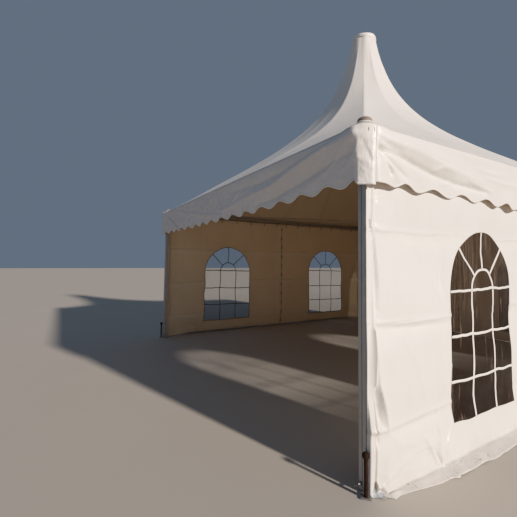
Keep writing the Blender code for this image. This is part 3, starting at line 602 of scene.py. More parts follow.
# The plan is the eave's outline by arc length, and each column hangs from it. The lower edge is
# a cosine along the side and straight round the corner, and it waves in and out with it.
def buildValance(side, seed):
    v = valance
    facing = side in ("front", "back")
    run = eaveHalf - roofShape["cornerCut"]
    sweep = np.linspace(math.atan2(-eaveHalf, -run), math.atan2(-run, eaveHalf), 6000)
    reach = eaveReach(sweep)
    steps = np.hypot(np.diff(reach * np.cos(sweep)), np.diff(reach * np.sin(sweep)))
    length = np.concatenate([[0], np.cumsum(steps)])
    straight, total = 2 * run, length[-1]
    bend = straight - 0.12                           # from here the columns are close together
    arc = np.concatenate([np.linspace(0, bend, v["columns"]),
                          np.linspace(bend, total, v["bendColumns"])[1:]])
    x0, y0, top = roofSurface(np.interp(arc, length, sweep), np.ones_like(arc))
    tx, ty = np.gradient(x0, arc), np.gradient(y0, arc)
    size = np.hypot(tx, ty)
    nx, ny = ty / size, -tx / size
    along = arc - run                                # metres from the middle of the side
    places, counts = zip((-run, 0), *scallopDrift.get(side, ()), (run, v["scallops"]))
    phase = math.tau * np.interp(along, places, counts)
    onFlap = step(arc, straight - 0.035, straight + 0.015)
    lifted = 0.024 * step(along, 0.9, 2.3) if side == "front" else 0.022 * step(-along, 0.3, 1.6)
    begun = step(arc, 0.05, 0.26)                    # the first scallop is nearly flat
    scallop = v["low"] + v["depth"] * (0.5 + 0.5 * np.cos(phase)) * begun + lifted + 0.020 * (1 - begun)
    low = scallop * (1 - onFlap) + v["flapLow"] * onFlap
    share = np.linspace(0, 1, v["rows"])[:, None] ** 0.9
    top = top - v["drop"]
    z = top + (low - top) * share
    along2, arc2, still = along + 0 * share, arc + 0 * share, 0 * along
    wave = np.cos(phase + 0.6 * softNoise(along, still, 0.9, seed + 6))
    out = v["flare"] * (1 + 0.3 * softNoise(along, still, 1.1, seed + 5)) * wave * share ** 3 * (1 - onFlap)
    out = out - v["lean"] * share * (1 - 0.5 * onFlap)
    out = out + 0.009 * share * (1 - onFlap) * softNoise(along2, z, 1.3, seed)
    for line, width, height, keep in valanceFolds[side]:
        out = out + v["foldShare"] * foldLine(along2, z, line, width, height, keep)
    out = np.where(out > 0, out * step(arc, 0.0, 0.16), out)     # nothing stands out beside the seam
    rough = 1.4 if side == "front" else 0.45
    crumpled = step(softNoise(along2, z, 0.9, seed + 3), -0.3, 0.9)
    broad = creaseNoise(along2, z * 1.3, 0.20, seed + 2, 7, 4.0) * (0.35 + 0.65 * crumpled)
    small = creaseNoise(along2, z, 0.075, seed + 8, 7, 2.5) * (0.3 + 0.7 * crumpled)
    out = out + rough * (0.0075 * broad + 0.0028 * small)
    if facing:                                       # tight wrinkles towards the far end
        out = out + step(-along, 0.4, 1.8) * 0.0060 * creaseNoise(along2 * 1.5, z * 0.9, 0.13, seed + 9)
    # the flap: a slanting fold and the crumples of cloth that was gathered
    flap = step(arc, straight - 0.045, straight + 0.02) + 0 * share
    middle = np.sin(math.pi * np.clip(share * 0.85 + 0.1, 0, 1))
    crumple = 0.0022 * creaseNoise(arc2, z * 0.7, 0.06, seed + 4)
    crumple = crumple + 0.0016 * softNoise(arc2, z, 0.15, seed + 7)
    slant, _ = fromLine(arc2 - straight, z, v["slant"])
    out = out + flap * (crumple * middle - 0.0038 * hump(slant, 0, 0.014) * middle)
    out = out * step(share, 0.0, 0.22)
    lapped = step(arc, 0.0, 0.035) * (1 - step(arc, total - 0.03, total))
    out = out * (0.12 + 0.88 * lapped) - 0.6 * v["lean"] * share * (1 - lapped)
    grid = onSide(side, x0 + nx * out, -(y0 + ny * out), z)
    name = "valance" + side.capitalize()
    outer = frontShadedOuter if side == "front" else valanceOuter
    crumpled = (1 - 0.95 * flap) * (1 - 0.65 * step(along2, -0.2, 1.2))
    uv = np.stack([arc2, 0.4 * share + 0 * arc], -1)
    piece = makePiece(name, [grid], [outer, valanceInner], ["valance_" + side],
                      v["thickness"], [uv], {"flap": flap, "crumpled": crumpled})
    makePiece(name + "Hem", [hemGrid(grid, *v["hem"])], [valanceOuter])
    # the next valance's end is laced behind the flap's: slots, a stud and a welt on the seam
    seam, back = [np.argmin(np.abs(arc - (total - inset))) for inset in (0.012, 0.052)]
    outward = onSide(side, nx[seam], -ny[seam], 0) - (0, mastY, 0)
    grids = []
    for column, low, high in ((back, 2.212, 2.232), (seam, 2.208, 2.234), (seam, 2.158, 2.166)):
        height = np.linspace(low, high, 5)
        hung = grid[::-1, column]
        line = np.stack([np.interp(height, hung[:, 2], hung[:, k]) for k in range(3)], -1)
        grids.append(tube(line + outward * 0.0004, 0.0020, 8))
    makePiece("laceSlots" + side.capitalize(), grids, [cordCloth])
    welt = tube(grid[2:, -1] + outward * 0.0005, 0.0014, 6)
    makePiece("seamWelt" + side.capitalize(), [welt], [valanceOuter])


# A welded hem: a flat band along the lower edge of a hung sheet, a little proud of both sides
def hemGrid(grid, width, proud):
    low, above = grid[-1], grid[-3]
    up = (above - low) / np.linalg.norm(above - low, axis=-1, keepdims=True)
    out = np.cross(np.gradient(low, axis=0), up)
    out = out / np.linalg.norm(out, axis=-1, keepdims=True)
    section = [(-proud, 0), (proud, 0), (proud, width), (-proud, width), (-proud, 0)]
    rows = np.stack([low + out * a + up * b for a, b in section])
    middle = rows[:4].mean(0)
    ends = [np.broadcast_to(middle[end], (5, 3))[:, None] for end in (0, -1)]
    return np.concatenate([ends[0], rows, ends[1]], 1)


for number, side in enumerate(turns):
    buildValance(side, 100 + 20 * number)
print("valances made")

# Walls: two panels to a side, hung outside the legs, with a skirt and a ground flap
wall = {
    "top": 2.214, "out": 2.5362, "edge": 0.03,
    "leanTop": 0.34, "lean": 0.052, "leanIn": 0.16, "flap": 0.105,
    "thickness": 0.0011,
    "creases": creaseLevels,
    "bulge": 0.012,              # of the cloth between two storage creases
    "foldShare": 2.0,            # of the heights listed below
    "spacing": 0.0135,           # of the mesh
}
# Windows: middle and half width along the side, sill, spring of the arch and its top
unseenWindow = (0.470, 0.215, 1.172, 1.642)
windowPlaces = {"rightLeft": (-1.240, 0.4325, 0.230, 1.175, 1.651), "rightRight": (1.250, *unseenWindow),
                "backLeft": (-1.250, *unseenWindow), "backRight": (1.250, *unseenWindow),
                "leftLeft": (-1.250, 0.485, 0.212, 1.170, 1.645),
                "leftRight": (1.266, 0.476, 0.238, 1.184, 1.650)}
# Folds of the panel beside the near leg, as for the valances; the others use some, mirrored
panelFolds = [
    ([(-2.43, 1.012), (-2.226, 1.0), (-1.967, 1.001), (-1.675, 1.0)], 0.015, 0.0080, 0.6),
    ([(-2.43, 0.980), (-2.1, 0.955), (-1.70, 0.955)], 0.035, -0.008, 0.3),
    ([(-2.384, 0.367), (-2.186, 0.36), (-2.033, 0.365), (-1.847, 0.37), (-1.669, 0.384)], 0.014, 0.0065, 0.6),
    ([(-2.35, 0.335), (-2.1, 0.32), (-1.85, 0.335)], 0.035, -0.006, 0.3),
    ([(-2.47, 1.632), (-2.40, 1.600), (-2.30, 1.606)], 0.010, 0.006, 0.3),
    ([(-2.476, 0.975), (-2.450, 0.636), (-2.418, 0.508), (-2.384, 0.379)], 0.020, 0.019, 0.5),
    ([(-2.477, 0.63), (-2.468, 0.55), (-2.455, 0.47), (-2.435, 0.40)], 0.014, -0.016, 0.3),
    ([(-2.515, 0.372), (-2.47, 0.372), (-2.40, 0.360)], 0.011, 0.011, 0.3),
    ([(-2.472, 0.345), (-2.470, 0.290)], 0.010, -0.010, 0.5),
    ([(-2.485, 1.66), (-2.463, 1.537), (-2.443, 1.284), (-2.44, 1.1)], 0.017, -0.013, 0.4),
    ([(-2.455, 1.60), (-2.435, 1.40), (-2.42, 1.25)], 0.012, 0.005, 0.3),
    ([(-2.49, 2.05), (-2.47, 1.9), (-2.462, 1.72)], 0.012, 0.005, 0.4),
    ([(-1.661, 0.645), (-1.775, 0.471), (-1.846, 0.387)], 0.014, 0.006, 0.2),
    ([(-1.685, 0.248), (-1.772, 0.136), (-1.822, 0.0)], 0.014, 0.008, 0.4),
    ([(-1.836, 0.358), (-1.862, 0.156), (-1.885, 0.0)], 0.012, 0.010, 0.5),
    ([(-1.885, -0.03), (-1.93, 0.07), (-2.006, 0.217)], 0.012, 0.013, 0.5),
    ([(-1.885, -0.03), (-1.87, 0.03), (-1.850, 0.10)], 0.010, 0.012, 0.5),
    ([(-1.885, -0.03), (-1.91, 0.08), (-1.93, 0.13)], 0.012, -0.010, 0.5),
    ([(-2.413, 0.056), (-2.257, 0.132), (-2.058, 0.162), (-1.90, 0.150)], 0.022, 0.005, 0.4),
    ([(-2.435, 0.045), (-2.465, 0.025), (-2.485, 0.010)], 0.009, 0.008, 0.5),
    ([(-2.435, 0.045), (-2.41, 0.005), (-2.387, -0.035)], 0.009, 0.007, 0.5),
    ([(-2.443, 0.02), (-2.450, 0.0)], 0.012, -0.012, 0.5),
    ([(-1.90, 1.38), (-1.90, 1.62)], 0.009, 0.0022, 0.3),
    ([(-2.337, 1.12), (-2.337, 1.50)], 0.012, 0.0024, 0.3),
    ([(-1.735, 1.45), (-1.760, 1.271), (-1.735, 1.08)], 0.050, -0.014, 0.2),
    ([(-2.25, 0.95), (-2.05, 0.70), (-1.95, 0.42)], 0.030, 0.003, 0.2),
    ([(-2.40, 0.36), (-2.25, 0.24), (-2.05, 0.19)], 0.024, 0.004, 0.2),
    ([(-1.66, 1.02), (-1.86, 1.22), (-2.02, 1.52)], 0.035, 0.003, 0.2),
    ([(-0.80, 1.05), (-0.5, 1.04), (0.0, 1.05)], 0.014, 0.005, 0.6),
    ([(-0.78, 0.23), (-0.68, 0.12), (-0.62, 0.0)], 0.014, 0.007, 0.4),
    ([(-1.55, 1.98), (-1.45, 1.88), (-1.42, 1.74)], 0.030, 0.003, 0.2)]
# The near panel's flap gets wider away from the leg: distance along, and width
flapSteps = [(-2.53, 0.006), (-2.51, 0.028), (-2.491, 0.042), (-2.468, 0.054), (-2.42, 0.050),
             (-2.35, 0.046), (-2.236, 0.075), (-2.10, 0.092), (-1.957, 0.108), (-1.753, 0.122),
             (-1.526, 0.132), (-1.262, 0.136), (-0.6, 0.120), (0.0, 0.118)]
windowBars = {"width": 0.019, "inner": 0.356, "levels": (0.279, 0.605), "tilt": 0.02, "spokes": (45, 90, 135),
              "proud": 0.0006, "prouder": 0.00015, "thickness": 0.0005}
windowFilm = {"lap": 0.02, "behind": 0.0016, "thickness": 0.0006}
fittings = {"face": 2.5315, "hookPitch": 0.325, "hookStart": 0.118, "hooks": 8}
walled = ("right", "back", "left")


# How far the lower wall leans out: lean * (1 - height / leanTop) ** 1.5
def leaning(height):
    return wall["lean"] * np.clip(1 - height / wall["leanTop"], 0, 1) ** 1.5


# How far a wall stands out: the lean, storage creases across it and a slight bulge between them,
# slow swells, listed folds, and puckers where the edge is pulled into the leg
def wallOut(panel, along, height):
    w, near, seed = wall, panel["near"], panel["seed"]
    post = half + w["edge"] - np.abs(along)
    free = step(post, 0.02, 0.30)
    flat, upright = 0 * along, 0 * height
    out = w["out"] + leaning(height) * step(post, 0.02, w["leanIn"] if near else 0.65)
    out = out + free * (0.0060 * softNoise(along, height * 0.8, 0.8, seed)
                        + 0.0012 * softNoise(along, height, 0.28, seed + 1))
    levels = (0.0,) + w["creases"] + (w["top"],)
    for number, (below, above) in enumerate(zip(levels[:-1], levels[1:])):
        out = out + w["bulge"] * free * np.sin(math.pi * np.clip((height - below) / (above - below), 0, 1))
        if number:
            line = below + 0.008 * softNoise(along, flat, 1.1, seed + 3 + number)
            fade = 0.5 + 0.5 * np.clip(softNoise(along, flat, 1.4, seed + 13 + number) + 0.6, 0, 1)
            out = out + (0.3 + 0.7 * free) * 0.0055 * fade * np.exp(-np.abs(height - line) / 0.010)
    middle, reach = panel["window"][:2]
    for offset in (-reach - 0.30, 0.02, reach + 0.34):
        away = along - middle - offset - 0.008 * softNoise(height, upright, 0.8, seed + 9)
        out = out + free * 0.0012 * np.exp(-np.abs(away) / 0.010)
    share = w["foldShare"] * (1.0 if near else 0.8)
    listed = panelFolds if near else panelFolds[:8] + panelFolds[9:11] + panelFolds[12:19]
    for line, width, high, keep in listed:
        if not near:                                 # each panel's folds sit a little elsewhere
            draw = np.random.default_rng(seed + int(abs(line[0][0] * 100)))
            line = [(a + draw.uniform(-0.03, 0.03), b + draw.uniform(-0.04, 0.04)) for a, b in line]
        out = out + share * foldLine(-np.abs(along), height, line, width, high, keep)
    small = 0.0042 if near else 0.007                # lesser puckers by the post
    for level, size in ((0.14, 0.7), (0.55, 0.6), (1.15, 0.5), (1.80, 0.7), (2.02, 0.5)):
        away, _ = fromLine(post, height, [(0.03, level), (0.14, level - 0.05)])
        out = out + small * size * np.exp(-away / 0.018) * step(post, 0.03, 0.055)
    # the bead's ridge beside the leg, and the fold of the sleeve, which stands open low down by
    # the near leg, where the cloth beside it swells
    out = out + 0.0055 * np.exp(-np.abs(post - 0.006) / 0.004)
    sleeve = 0.052 + 0.006 * softNoise(height, upright, 0.9, seed + 20)
    fold = 0.0100 * np.exp(-np.abs(post - sleeve) / 0.008) - 0.0060 * hump(post, sleeve + 0.026, 0.014)
    tucked = (1 - step(height, 0.38, 0.60)) * near
    opened = 0.025 * np.clip((post - 0.003) / 0.006, 0, 1) * np.exp(-np.maximum(post - 0.05, 0) / 0.05)
    out = out + (1 - tucked) * fold + tucked * (opened - 0.013 * hump(post, 0.043, 0.006))
    swell = (1 - np.exp(-np.maximum(post, 0) / 0.08)) * hump(post, 0, 0.35)
    out = out + 0.035 * near * swell * step(height, 0.02, 0.25) * (1 - step(height, 0.80, 1.0))
    beside = step(post, 0.03, 0.05) * np.exp(-post / 0.09)
    out = out + 0.003 * beside * softNoise(post * 2, height, 0.25, seed + 12)
    # slack cloth by the ground
    slack = np.clip(1 - height / 0.22, 0, 1) * step(post, 0.03, 0.2)
    out = out + slack * (0.006 * softNoise(along, height * 2, 0.45, seed + 13)
                         + 0.005 * creaseNoise(along, height * 1.5, 0.20, seed + 14))
    hang = np.exp(-(w["top"] - height) / 0.06) * free
    return out + 0.004 * hang * np.cos(math.tau * (np.abs(along) - 0.11) / fittings["hookPitch"])


# Cloth position, proud of the sheet by a distance: below 0 it turns outward and lies on the
# ground as a flap. The window and the wall round it wander a little from the true arch.
def wallPoint(panel, along, height, proud=0.0):
    along, height = np.broadcast_arrays(along, height)
    near, seed, flapWidth = panel["near"], panel["seed"], wall["flap"]
    middle = panel["window"][0]
    nearby = np.exp(-np.maximum(np.hypot(along - middle, (height - 0.95) * 0.6) - 0.5, 0) / 0.15)
    size = 1.0 if near else 0.5
    a = along + 0.010 * size * softNoise(height * 1.2, along * 0.5, 0.55, seed + 31) * nearby
    h = height + 0.007 * size * softNoise(along * 1.4, height * 0.4, 0.5, seed + 32) * nearby
    post = half + wall["edge"] - np.abs(a)
    up = np.maximum(h, 0.0)
    if near:
        width = np.interp(a, *zip(*flapSteps)) + 0.004 * softNoise(a, 0 * a, 0.35, seed + 40)
    else:
        width = flapWidth * (1 + 0.12 * softNoise(a, 0 * a, 0.7, seed + 40))
        width = width * (0.02 + 0.98 * step(post, 0.05, 0.75))
    flap = np.maximum(-h, 0) / flapWidth * width
    onPlate = 1 - step(post, 0.05, 0.10)
    z = up + 0.0135 * onPlate * np.clip(1 - up / 0.1, 0, 1) * np.clip(1 + h / 0.06, 0, 1)
    raised = (0.012 if near else 0.030) * step(post, 0.05, 0.5)      # the flap falls from here to the ground
    z = z + raised * np.clip(1 - up / 0.2, 0, 1) * np.clip(1 + h / flapWidth, 0, 1)
    lying = np.clip(-h / 0.02, 0, 1)
    z = z + 0.0016 + lying * 0.005 * np.clip(softNoise(a, h * 2, 0.25, seed + 41) + 0.3, 0, 2)
    return onSide(panel["side"], a, wallOut(panel, a, up) + flap + proud, z)


# Places of a panel's columns between two of its edges, close together beside the leg
def panelColumns(low, high, hand, spacing):
    line = np.linspace(low, high, max(2, int(abs(high - low) / spacing)))
    line = line[np.abs(line) < half + wall["edge"] - 0.20]
    fine = np.concatenate([np.arange(0, 0.06, 0.003), np.arange(0.06, 0.20, 0.008)])
    post = (half + wall["edge"] - fine) * hand
    return np.unique(np.round(np.concatenate([line, post[(post > low) & (post < high)], [low, high]]), 5))


# Height of an arch: rise * sqrt(1 - (away / reach) ** 2)
def archOver(away, reach, rise):
    return rise * np.sqrt(np.maximum(1 - (away / reach) ** 2, 0))


# A strip of the width along a line, four points across
def barGrid(line, width):
    tangent = np.gradient(line, axis=0)
    tangent /= np.linalg.norm(tangent, axis=1, keepdims=True)
    normal = np.stack([-tangent[:, 1], tangent[:, 0]], -1)
    return line[:, None] + normal[:, None] * np.linspace(-0.5, 0.5, 4)[:, None] * width


# Lines of a window's bars: two uprights, the crossbars, an inner arch and its spokes
def barLines(window):
    centre, reach, sill, spring, top = window
    b, rise = windowBars, top - spring
    inX, inZ = b["inner"] * reach, b["inner"] * rise
    lines = [np.linspace((centre + x, sill - 0.005), (centre + x, spring), 50) for x in (-inX, inX)]
    for level in (sill + b["levels"][0], sill + b["levels"][1], spring):
        lines.append(np.linspace((centre - reach, level), (centre + reach, level + b["tilt"]), 40))
    turn = np.linspace(0, math.pi, 30)
    lines.append(np.stack([centre + inX * np.cos(turn), spring + inZ * np.sin(turn)], -1))
    for angle in b["spokes"]:
        c, s = math.cos(math.radians(angle)), math.sin(math.radians(angle))
        outer = (centre + reach * c, spring + rise * s)
        lines.append(np.linspace((centre + inX * c, spring + inZ * s), outer, 14))
    return lines


# The sheet is laid out round its window: a block on each side, one below, and one over the
# arch whose columns follow the arch up to the top edge. Film is welded behind it round the
# opening, and bars are welded on the film.
def buildPanel(side, hand, seed):
    w = wall
    name = side + ("Left" if hand < 0 else "Right")
    window = windowPlaces[name]
    panel = {"side": side, "window": window, "seed": seed, "near": name == "rightLeft"}
    centre, reach, sill, spring, top = window
    spacing = w["spacing"] * (0.82 if panel["near"] else 1.5)
    inner = 0.014 if hand < 0 else 0.0               # one panel laps over the other where they meet
    leftEdge, rightEdge = sorted([hand * (half + w["edge"]), inner])
    arch = centre - reach * np.cos(np.linspace(0, math.pi, 49))
    topShare = np.linspace(0, 1, int((w["top"] - spring) / spacing) + 2)
    archZ = spring + archOver(arch - centre, reach, top - spring)
    overArch = archZ + (w["top"] - archZ) * topShare[:, None]
    lowRows = np.linspace(0, sill, int(sill / spacing * 1.4) + 2)
    low = np.concatenate([np.linspace(-w["flap"], 0, 9)[:-1], lowRows])
    midRows = np.linspace(sill, spring, int((spring - sill) / spacing) + 2)
    rows = np.concatenate([low, midRows[1:], (spring + (w["top"] - spring) * topShare)[1:]])
    sheets = [np.meshgrid(panelColumns(*edges, hand, spacing), rows)
              for edges in ((leftEdge, centre - reach), (centre + reach, rightEdge))]
    sheets += [np.meshgrid(arch, low), (arch + 0 * overArch, overArch)]
    label = name[0].upper() + name[1:]
    part = "left" if hand < 0 else "right"
    grids, uvs = zip(*[(wallPoint(panel, a, h), np.stack([a, h], -1)) for a, h in sheets])
    sheet = makePiece("wall" + label, grids, [wallOuter, wallInner], [side + "_wall_" + part],
                      w["thickness"], uvs)
    lap = windowFilm["lap"]
    across = centre - (reach + lap) * np.cos(np.linspace(0, math.pi, 41))
    topLine = spring + archOver(across - centre, reach + lap, top - spring + lap)
    height = (sill - lap) + (topLine - sill + lap) * np.linspace(0, 1, 60)[:, None]
    across = across + 0 * height
    grid, uv = wallPoint(panel, across, height, -windowFilm["behind"]), np.stack([across, height], -1)
    filmPiece = makePiece("windowFilm" + label, [grid], [films[side]],
                          [side + "_window_" + part], windowFilm["thickness"], [uv])
    # each bar is a little prouder than the one before, so that no two have faces in one place
    grids, b = [], windowBars
    for number, line in enumerate(barLines(window)):
        strip = barGrid(line, b["width"] * (1.0 if panel["near"] else 0.8))
        uneven = softNoise(strip[..., 0] * 3, strip[..., 1] * 3, 0.4, seed + 60 + number)
        strip = strip + 0.0022 * uneven[..., None]
        grids.append(wallPoint(panel, strip[..., 0], strip[..., 1], b["proud"] + b["prouder"] * number))
    bars = makePiece("windowBars" + label, grids, [barCloth, barShadedInner], (),
                     b["thickness"])


for number, side in enumerate(walled):
    for hand in (-1, 1):
        buildPanel(side, hand, 300 + 100 * number + (50 if hand > 0 else 0))
print("walls made")

# The hood over the peak
hoodLow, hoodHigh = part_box("peak_hood")
hood = {"top": hoodHigh.z, "low": hoodLow.z, "radius": hoodHigh.x, "shoulder": 0.020, "crown": 0.012,
        "slack": 0.004, "clip": 0.003, "sides": 144, "thickness": 0.0012}


# A turned profile: slightly domed crown, rounded shoulder and a flat rim that clips over the
# neck, with a few slack bulges in the rim
def buildHood():
    h = hood
    edge, crown = h["radius"] - h["slack"], h["top"] - h["crown"]
    inner = edge - h["shoulder"]
    profile = [(inner * q, crown + h["crown"] * (1 - q * q)) for q in (0, 0.2, 0.4, 0.6, 0.8)]
    profile += [(inner + h["shoulder"] * math.sin(t), crown - h["shoulder"] * (1 - math.cos(t)))
                for t in np.linspace(0, math.pi / 2, 9)]
    rim = np.linspace(crown - h["shoulder"] - 0.004, h["low"] + 0.004, 8)
    profile += [(edge + 0.0015 * math.sin(math.pi * k / 7), z) for k, z in enumerate(rim)]
    profile = np.array(profile + [(roofShape["neckRadius"] + h["clip"], h["low"])])
    angle = np.linspace(0, math.tau, h["sides"] + 1)
    radius, height = profile[:, :1] + 0 * angle, profile[:, 1:] + 0 * angle
    low = step(h["top"] - height, 0.01, 0.05)
    around, across = np.cos(angle) + 0 * height, np.sin(angle) + 0 * height
    pleat = creaseNoise(around, across + height * 2, 0.35, 21, 8) - 0.4
    radius = radius + (0.0025 * pleat + 0.0035 * softNoise(around, across, 1.0, 22)) * low
    swell = 0.003 * softNoise(radius * around * 6, radius * across * 6, 1.0, 23)
    height = np.minimum(height + swell * (1 - low), h["top"] + 0.003)
    grid = np.stack([radius * np.cos(angle), radius * np.sin(angle) + mastY, height], -1)
    piece = makePiece("peakHood", [grid], [hoodCloth], ["peak_hood"], h["thickness"],
                      inside=4.9)


buildHood()
print("hood made")

# Corner caps with the washers under them
cap = {"radius": 0.049, "base": 2.300, "height": 0.036}


def buildCap(corner):
    r, height = cap["radius"], cap["height"]
    dome = [(r * math.cos(t) ** 0.7, 0.008 + (height - 0.008) * math.sin(t))
            for t in np.linspace(0.12, math.pi / 2, 9)]
    profile = [(0, 0), (r * 0.97, 0), (r, 0.002), (r, 0.007), (r * 0.985, 0.0085), *dome[:-1],
               (0.012, height), (0.0105, height - 0.002), (0, height - 0.002)]
    washer = [(0, -0.013), (r - 0.006, -0.013), (r - 0.006, -0.007), (r + 0.003, -0.0065),
              (r + 0.0045, -0.0045), (r + 0.0025, -0.0012), (r - 0.003, -0.0008), (0, -0.0008)]
    seed, sx, sy = corners[corner]
    place = (sx * half, sy * half + mastY, cap["base"])
    makePiece("cornerCap_" + corner, [lathe(profile, place, 36, 0.006, seed)], [capPlastic],
              ["corner_cap_" + corner], sharp=38)
    makePiece("capWasher_" + corner, [lathe(washer, place, 36, 0.03, seed + 9)], [hoodCloth],
              sharp=50)


# Ground stakes: a driven steel pin with a mushroomed head
stake = {"radius": 0.0125, "top": 0.266, "head": 0.0232, "headHeight": 0.036, "out": 0.074}


def buildStake(corner):
    s = stake
    collar = s["top"] - s["headHeight"]
    profile = [(0, 0.0), (s["radius"], 0.0)]
    profile += [(s["radius"], z) for z in np.linspace(0.02, collar - 0.01, 12)]
    profile += [(s["head"] * math.cos(t) ** 0.8, collar + s["headHeight"] * (math.sin(t) + 0.75) / 1.72)
                for t in np.linspace(-0.85, 1.35, 11)]
    profile += [(0.006, s["top"] - 0.001), (0, s["top"] - 0.001)]
    seed, sx, sy = corners[corner]
    away = half + s["out"] / root2
    makePiece("stake_" + corner, [lathe(profile, (sx * away, sy * away + mastY, 0), 28, 0.022, 40 + seed)],
              [rustySteel], ["ground_stake_" + corner], sharp=60)


for corner in corners:
    buildCap(corner)
for corner in corners:
    buildStake(corner)
print("caps and stakes made")

# Finishes of the frame's own pieces
frameFinishes = {"eave_beam": beamAlloy, "base_plate": zincSteel, "cable": zincSteel, "mast_foot": zincSteel}
for name, item in nodes.items():
    if not item.hide_render:
        chosen = [finish for start, finish in frameFinishes.items() if name.startswith(start)]
        item.data.materials.clear()
        item.data.materials.append(chosen[0] if chosen else profileAlloy)


hook = {"low": 2.165, "middle": 2.195, "top": 2.2185, "end": 2.212, "bend": 0.004, "wire": 0.0035,
        "eye": 0.011, "eyeZ": 2.168, "eyeWire": 0.0028}


# Hooks along the top of each wall, just inside it: each bends inwards at its top and has an
# eye at its foot
def buildHooks(side):
    f, k, face = fittings, hook, fittings["face"]
    grids = []
    turn, ring = np.linspace(0, math.pi, 7), np.linspace(0, math.tau, 13)
    out = np.concatenate([[face, face], face - k["bend"] + k["bend"] * np.cos(turn), [face - 2 * k["bend"]]])
    height = np.concatenate([[k["low"], k["middle"]], k["top"] + k["bend"] * np.sin(turn), [k["end"]]])
    for sign in (-1, 1):
        for number in range(f["hooks"]):
            along = sign * (f["hookStart"] + f["hookPitch"] * number)
            grids.append(tube(onSide(side, along, out, height), k["wire"], 8))
            eye = onSide(side, along + k["eye"] * np.cos(ring), face + 0.001,
                         k["eyeZ"] + k["eye"] * np.sin(ring))
            grids.append(tube(eye, k["eyeWire"], 6)[1:-1])
    makePiece("wallHooks_" + side, grids, [darkFitting])


lacing = {"pitch": 0.2, "loops": 11, "firstLoop": 0.1, "loopWidth": 0.011, "loopHeight": 0.034,
          "loopIn": 0.0052, "loopCord": 0.0034,
          "low": 0.06, "high": 2.16, "lineIn": 0.0035, "cord": 0.003, "drift": 0.002}


# The lacing where two panels meet: a line up the wall, and loops round it
def buildLacing(side):
    c, turn = lacing, np.linspace(-math.pi * 0.5, math.pi * 1.4, 16)
    grids = []
    for level in c["firstLoop"] + c["pitch"] * np.arange(c["loops"]):
        height = level + c["loopHeight"] * np.sin(turn)
        out = wall["out"] - c["loopIn"] - 0.003 * np.abs(np.cos(turn)) + leaning(height)
        along = c["loopWidth"] * np.cos(turn) + c["drift"] * np.sin(level * 37)
        grids.append(tube(onSide(side, along, out, height), c["loopCord"], 7))
    height = np.linspace(c["low"], c["high"], 80)
    line = onSide(side, c["drift"] * np.sin(height * 31), wall["out"] - c["lineIn"] + leaning(height), height)
    makePiece("wallLacing_" + side, grids + [tube(line, c["cord"], 7)], [cordCloth])


for side in walled:
    buildHooks(side)
    buildLacing(side)
print("hooks and lacing made")


footPin = {"inset": 0.012, "level": 0.048, "shank": (-0.004, 0.02, 0.048), "radius": 0.006,
           "head": (0.0005, 0.008), "headRadius": 0.0125, "ring": 0.012, "ringOut": 0.042, "wire": 0.0018}


# A pin with a head and a split ring at each foot
def buildFootPin(corner):
    p = footPin
    _, sx, sy = corners[corner]
    x, face, level = sx * (half - p["inset"]), sy * (half + legHalf) + mastY, p["level"]
    shank = tube([(x, face + sy * reach, level) for reach in p["shank"]], p["radius"], 12)
    head = tube([(x, face + sy * reach, level) for reach in p["head"]], p["headRadius"], 6)
    ring = np.linspace(0, math.tau, 21)
    loop = np.stack([x + p["ring"] * np.cos(ring), face + sy * (p["ringOut"] + 0.004 * np.sin(ring)),
                     level - 0.011 + p["ring"] * np.sin(ring)], -1)
    makePiece("footPin_" + corner, [shank, head, tube(loop, p["wire"], 6)[1:-1]], [zincSteel],
              sharp=35)


for corner in corners:
    buildFootPin(corner)

# Floor, light and camera
floorLook = {"reach": 60.0, "level": -0.0005, "colour": (0.44, 0.40, 0.355, 1),
             "grain": (0.405, 0.365, 0.32, 1)}


def buildFloor():
    reach = floorLook["reach"]
    mesh = bpy.data.meshes.new("floor")
    plan = ((-reach, -reach), (reach, -reach), (reach, reach), (-reach, reach))
    mesh.from_pydata([(x, y, floorLook["level"]) for x, y in plan], [], [(0, 1, 2, 3)])
    finish, shader, place = newFinish("floor", Roughness=0.8)
    fill(shader, {"Base Color": mix(noise(place, 0.8, 6.0), floorLook["colour"], floorLook["grain"])})
    mesh.materials.append(finish)
    addObject("floor", mesh)


light = {"sun": 3.9, "sunAzimuth": 17.0, "sunHeight": 22.3, "sunSize": 2.5, "sunColour": (1.0, 0.935, 0.865),
         "sky": (0.50, 0.70, 1.0, 1), "skyStrength": 0.155,
         "glow": 3.7, "glowColour": (1.0, 0.82, 0.62), "glowSize": (1.4, 4.4), "glowHeight": 0.85,
         "glowInset": 0.12}


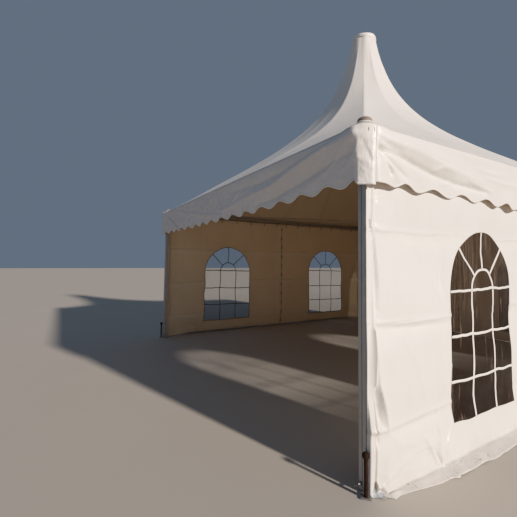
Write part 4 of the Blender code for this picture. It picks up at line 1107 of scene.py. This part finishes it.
# The sun lamp's direction: azimuth from +X towards +Y, height above the horizon, in degrees
def buildLight():
    lamp = bpy.data.lights.new("studio key", "SUN")
    lamp.energy, lamp.color, lamp.angle = light["sun"], light["sunColour"], math.radians(light["sunSize"])
    addObject("studio key", lamp).rotation_euler = (0, math.radians(90 - light["sunHeight"]),
                                                    math.radians(light["sunAzimuth"]))
    glow = bpy.data.lights.new("studio fill", "AREA")    # stands for sun that comes through the right wall
    glow.energy, glow.color, glow.shape = light["glow"], light["glowColour"], "RECTANGLE"
    glow.size, glow.size_y = light["glowSize"]
    item = addObject("studio fill", glow)
    item.location = (half - light["glowInset"], mastY, light["glowHeight"])
    item.rotation_euler = (0, math.radians(90), 0)
    item.visible_camera = False
    world = bpy.data.worlds.new("studio")
    world.use_nodes = True
    fill(world.node_tree.nodes["Background"], {"Color": light["sky"], "Strength": light["skyStrength"]})
    bpy.context.scene.world = world


view = {"x": 4.1301, "y": -4.1381, "z": 1.3961, "yaw": -1.0168, "pitch": 0.058, "roll": 0.0101,
        "focal": 353.31, "centreX": 281.15, "centreY": 240.81, "picture": 517, "sensor": 36.0}


# Forward is (sin yaw cos pitch, cos yaw cos pitch, sin pitch), right is level, and the roll turns
# right and up about forward. Focal length and centre are in pixels of the picture.
def buildCamera():
    v = view
    cy, sy, cp, sp = math.cos(v["yaw"]), math.sin(v["yaw"]), math.cos(v["pitch"]), math.sin(v["pitch"])
    ahead, right = np.array([sy * cp, cy * cp, sp]), np.array([cy, -sy, 0.0])
    up = np.cross(right, ahead)
    c, s = math.cos(v["roll"]), math.sin(v["roll"])
    camera = bpy.data.cameras.new("camera")
    camera.sensor_width = v["sensor"]
    camera.lens = v["focal"] / v["picture"] * camera.sensor_width
    camera.shift_x = 0.5 - v["centreX"] / v["picture"]
    camera.shift_y = v["centreY"] / v["picture"] - 0.5
    camera.clip_start, camera.clip_end = 0.05, 200
    matrix = np.eye(4)
    place = (v["x"], v["y"] + mastY, v["z"])
    matrix[:3] = np.stack([c * right + s * up, c * up - s * right, -ahead, place], 1)
    item = addObject("camera", camera)
    item.matrix_world = Matrix(matrix.tolist())
    bpy.context.scene.camera = item


# The picture's response to light, white * (1 - exp(-steep * light)) in red, green and blue, so
# that bright cloth keeps its folds
response = {"white": (1.105, 1.06, 1.03), "steep": 1.5, "points": (0.03, 0.08, 0.15, 0.25, 0.38, 0.55, 0.75)}


def buildResponse():
    shown = bpy.context.scene.view_settings
    shown.view_transform = "Standard"
    shown.use_curve_mapping = True
    for curve, white in zip(shown.curve_mapping.curves, response["white"]):
        curve.points[0].location = (0, 0)
        curve.points[-1].location = (1, white * (1 - math.exp(-response["steep"])))
        for x in response["points"]:
            curve.points.new(x, white * (1 - math.exp(-response["steep"] * x)))
    shown.curve_mapping.update()


buildFloor()
buildLight()
buildCamera()
buildResponse()
print("floor, light and camera made")
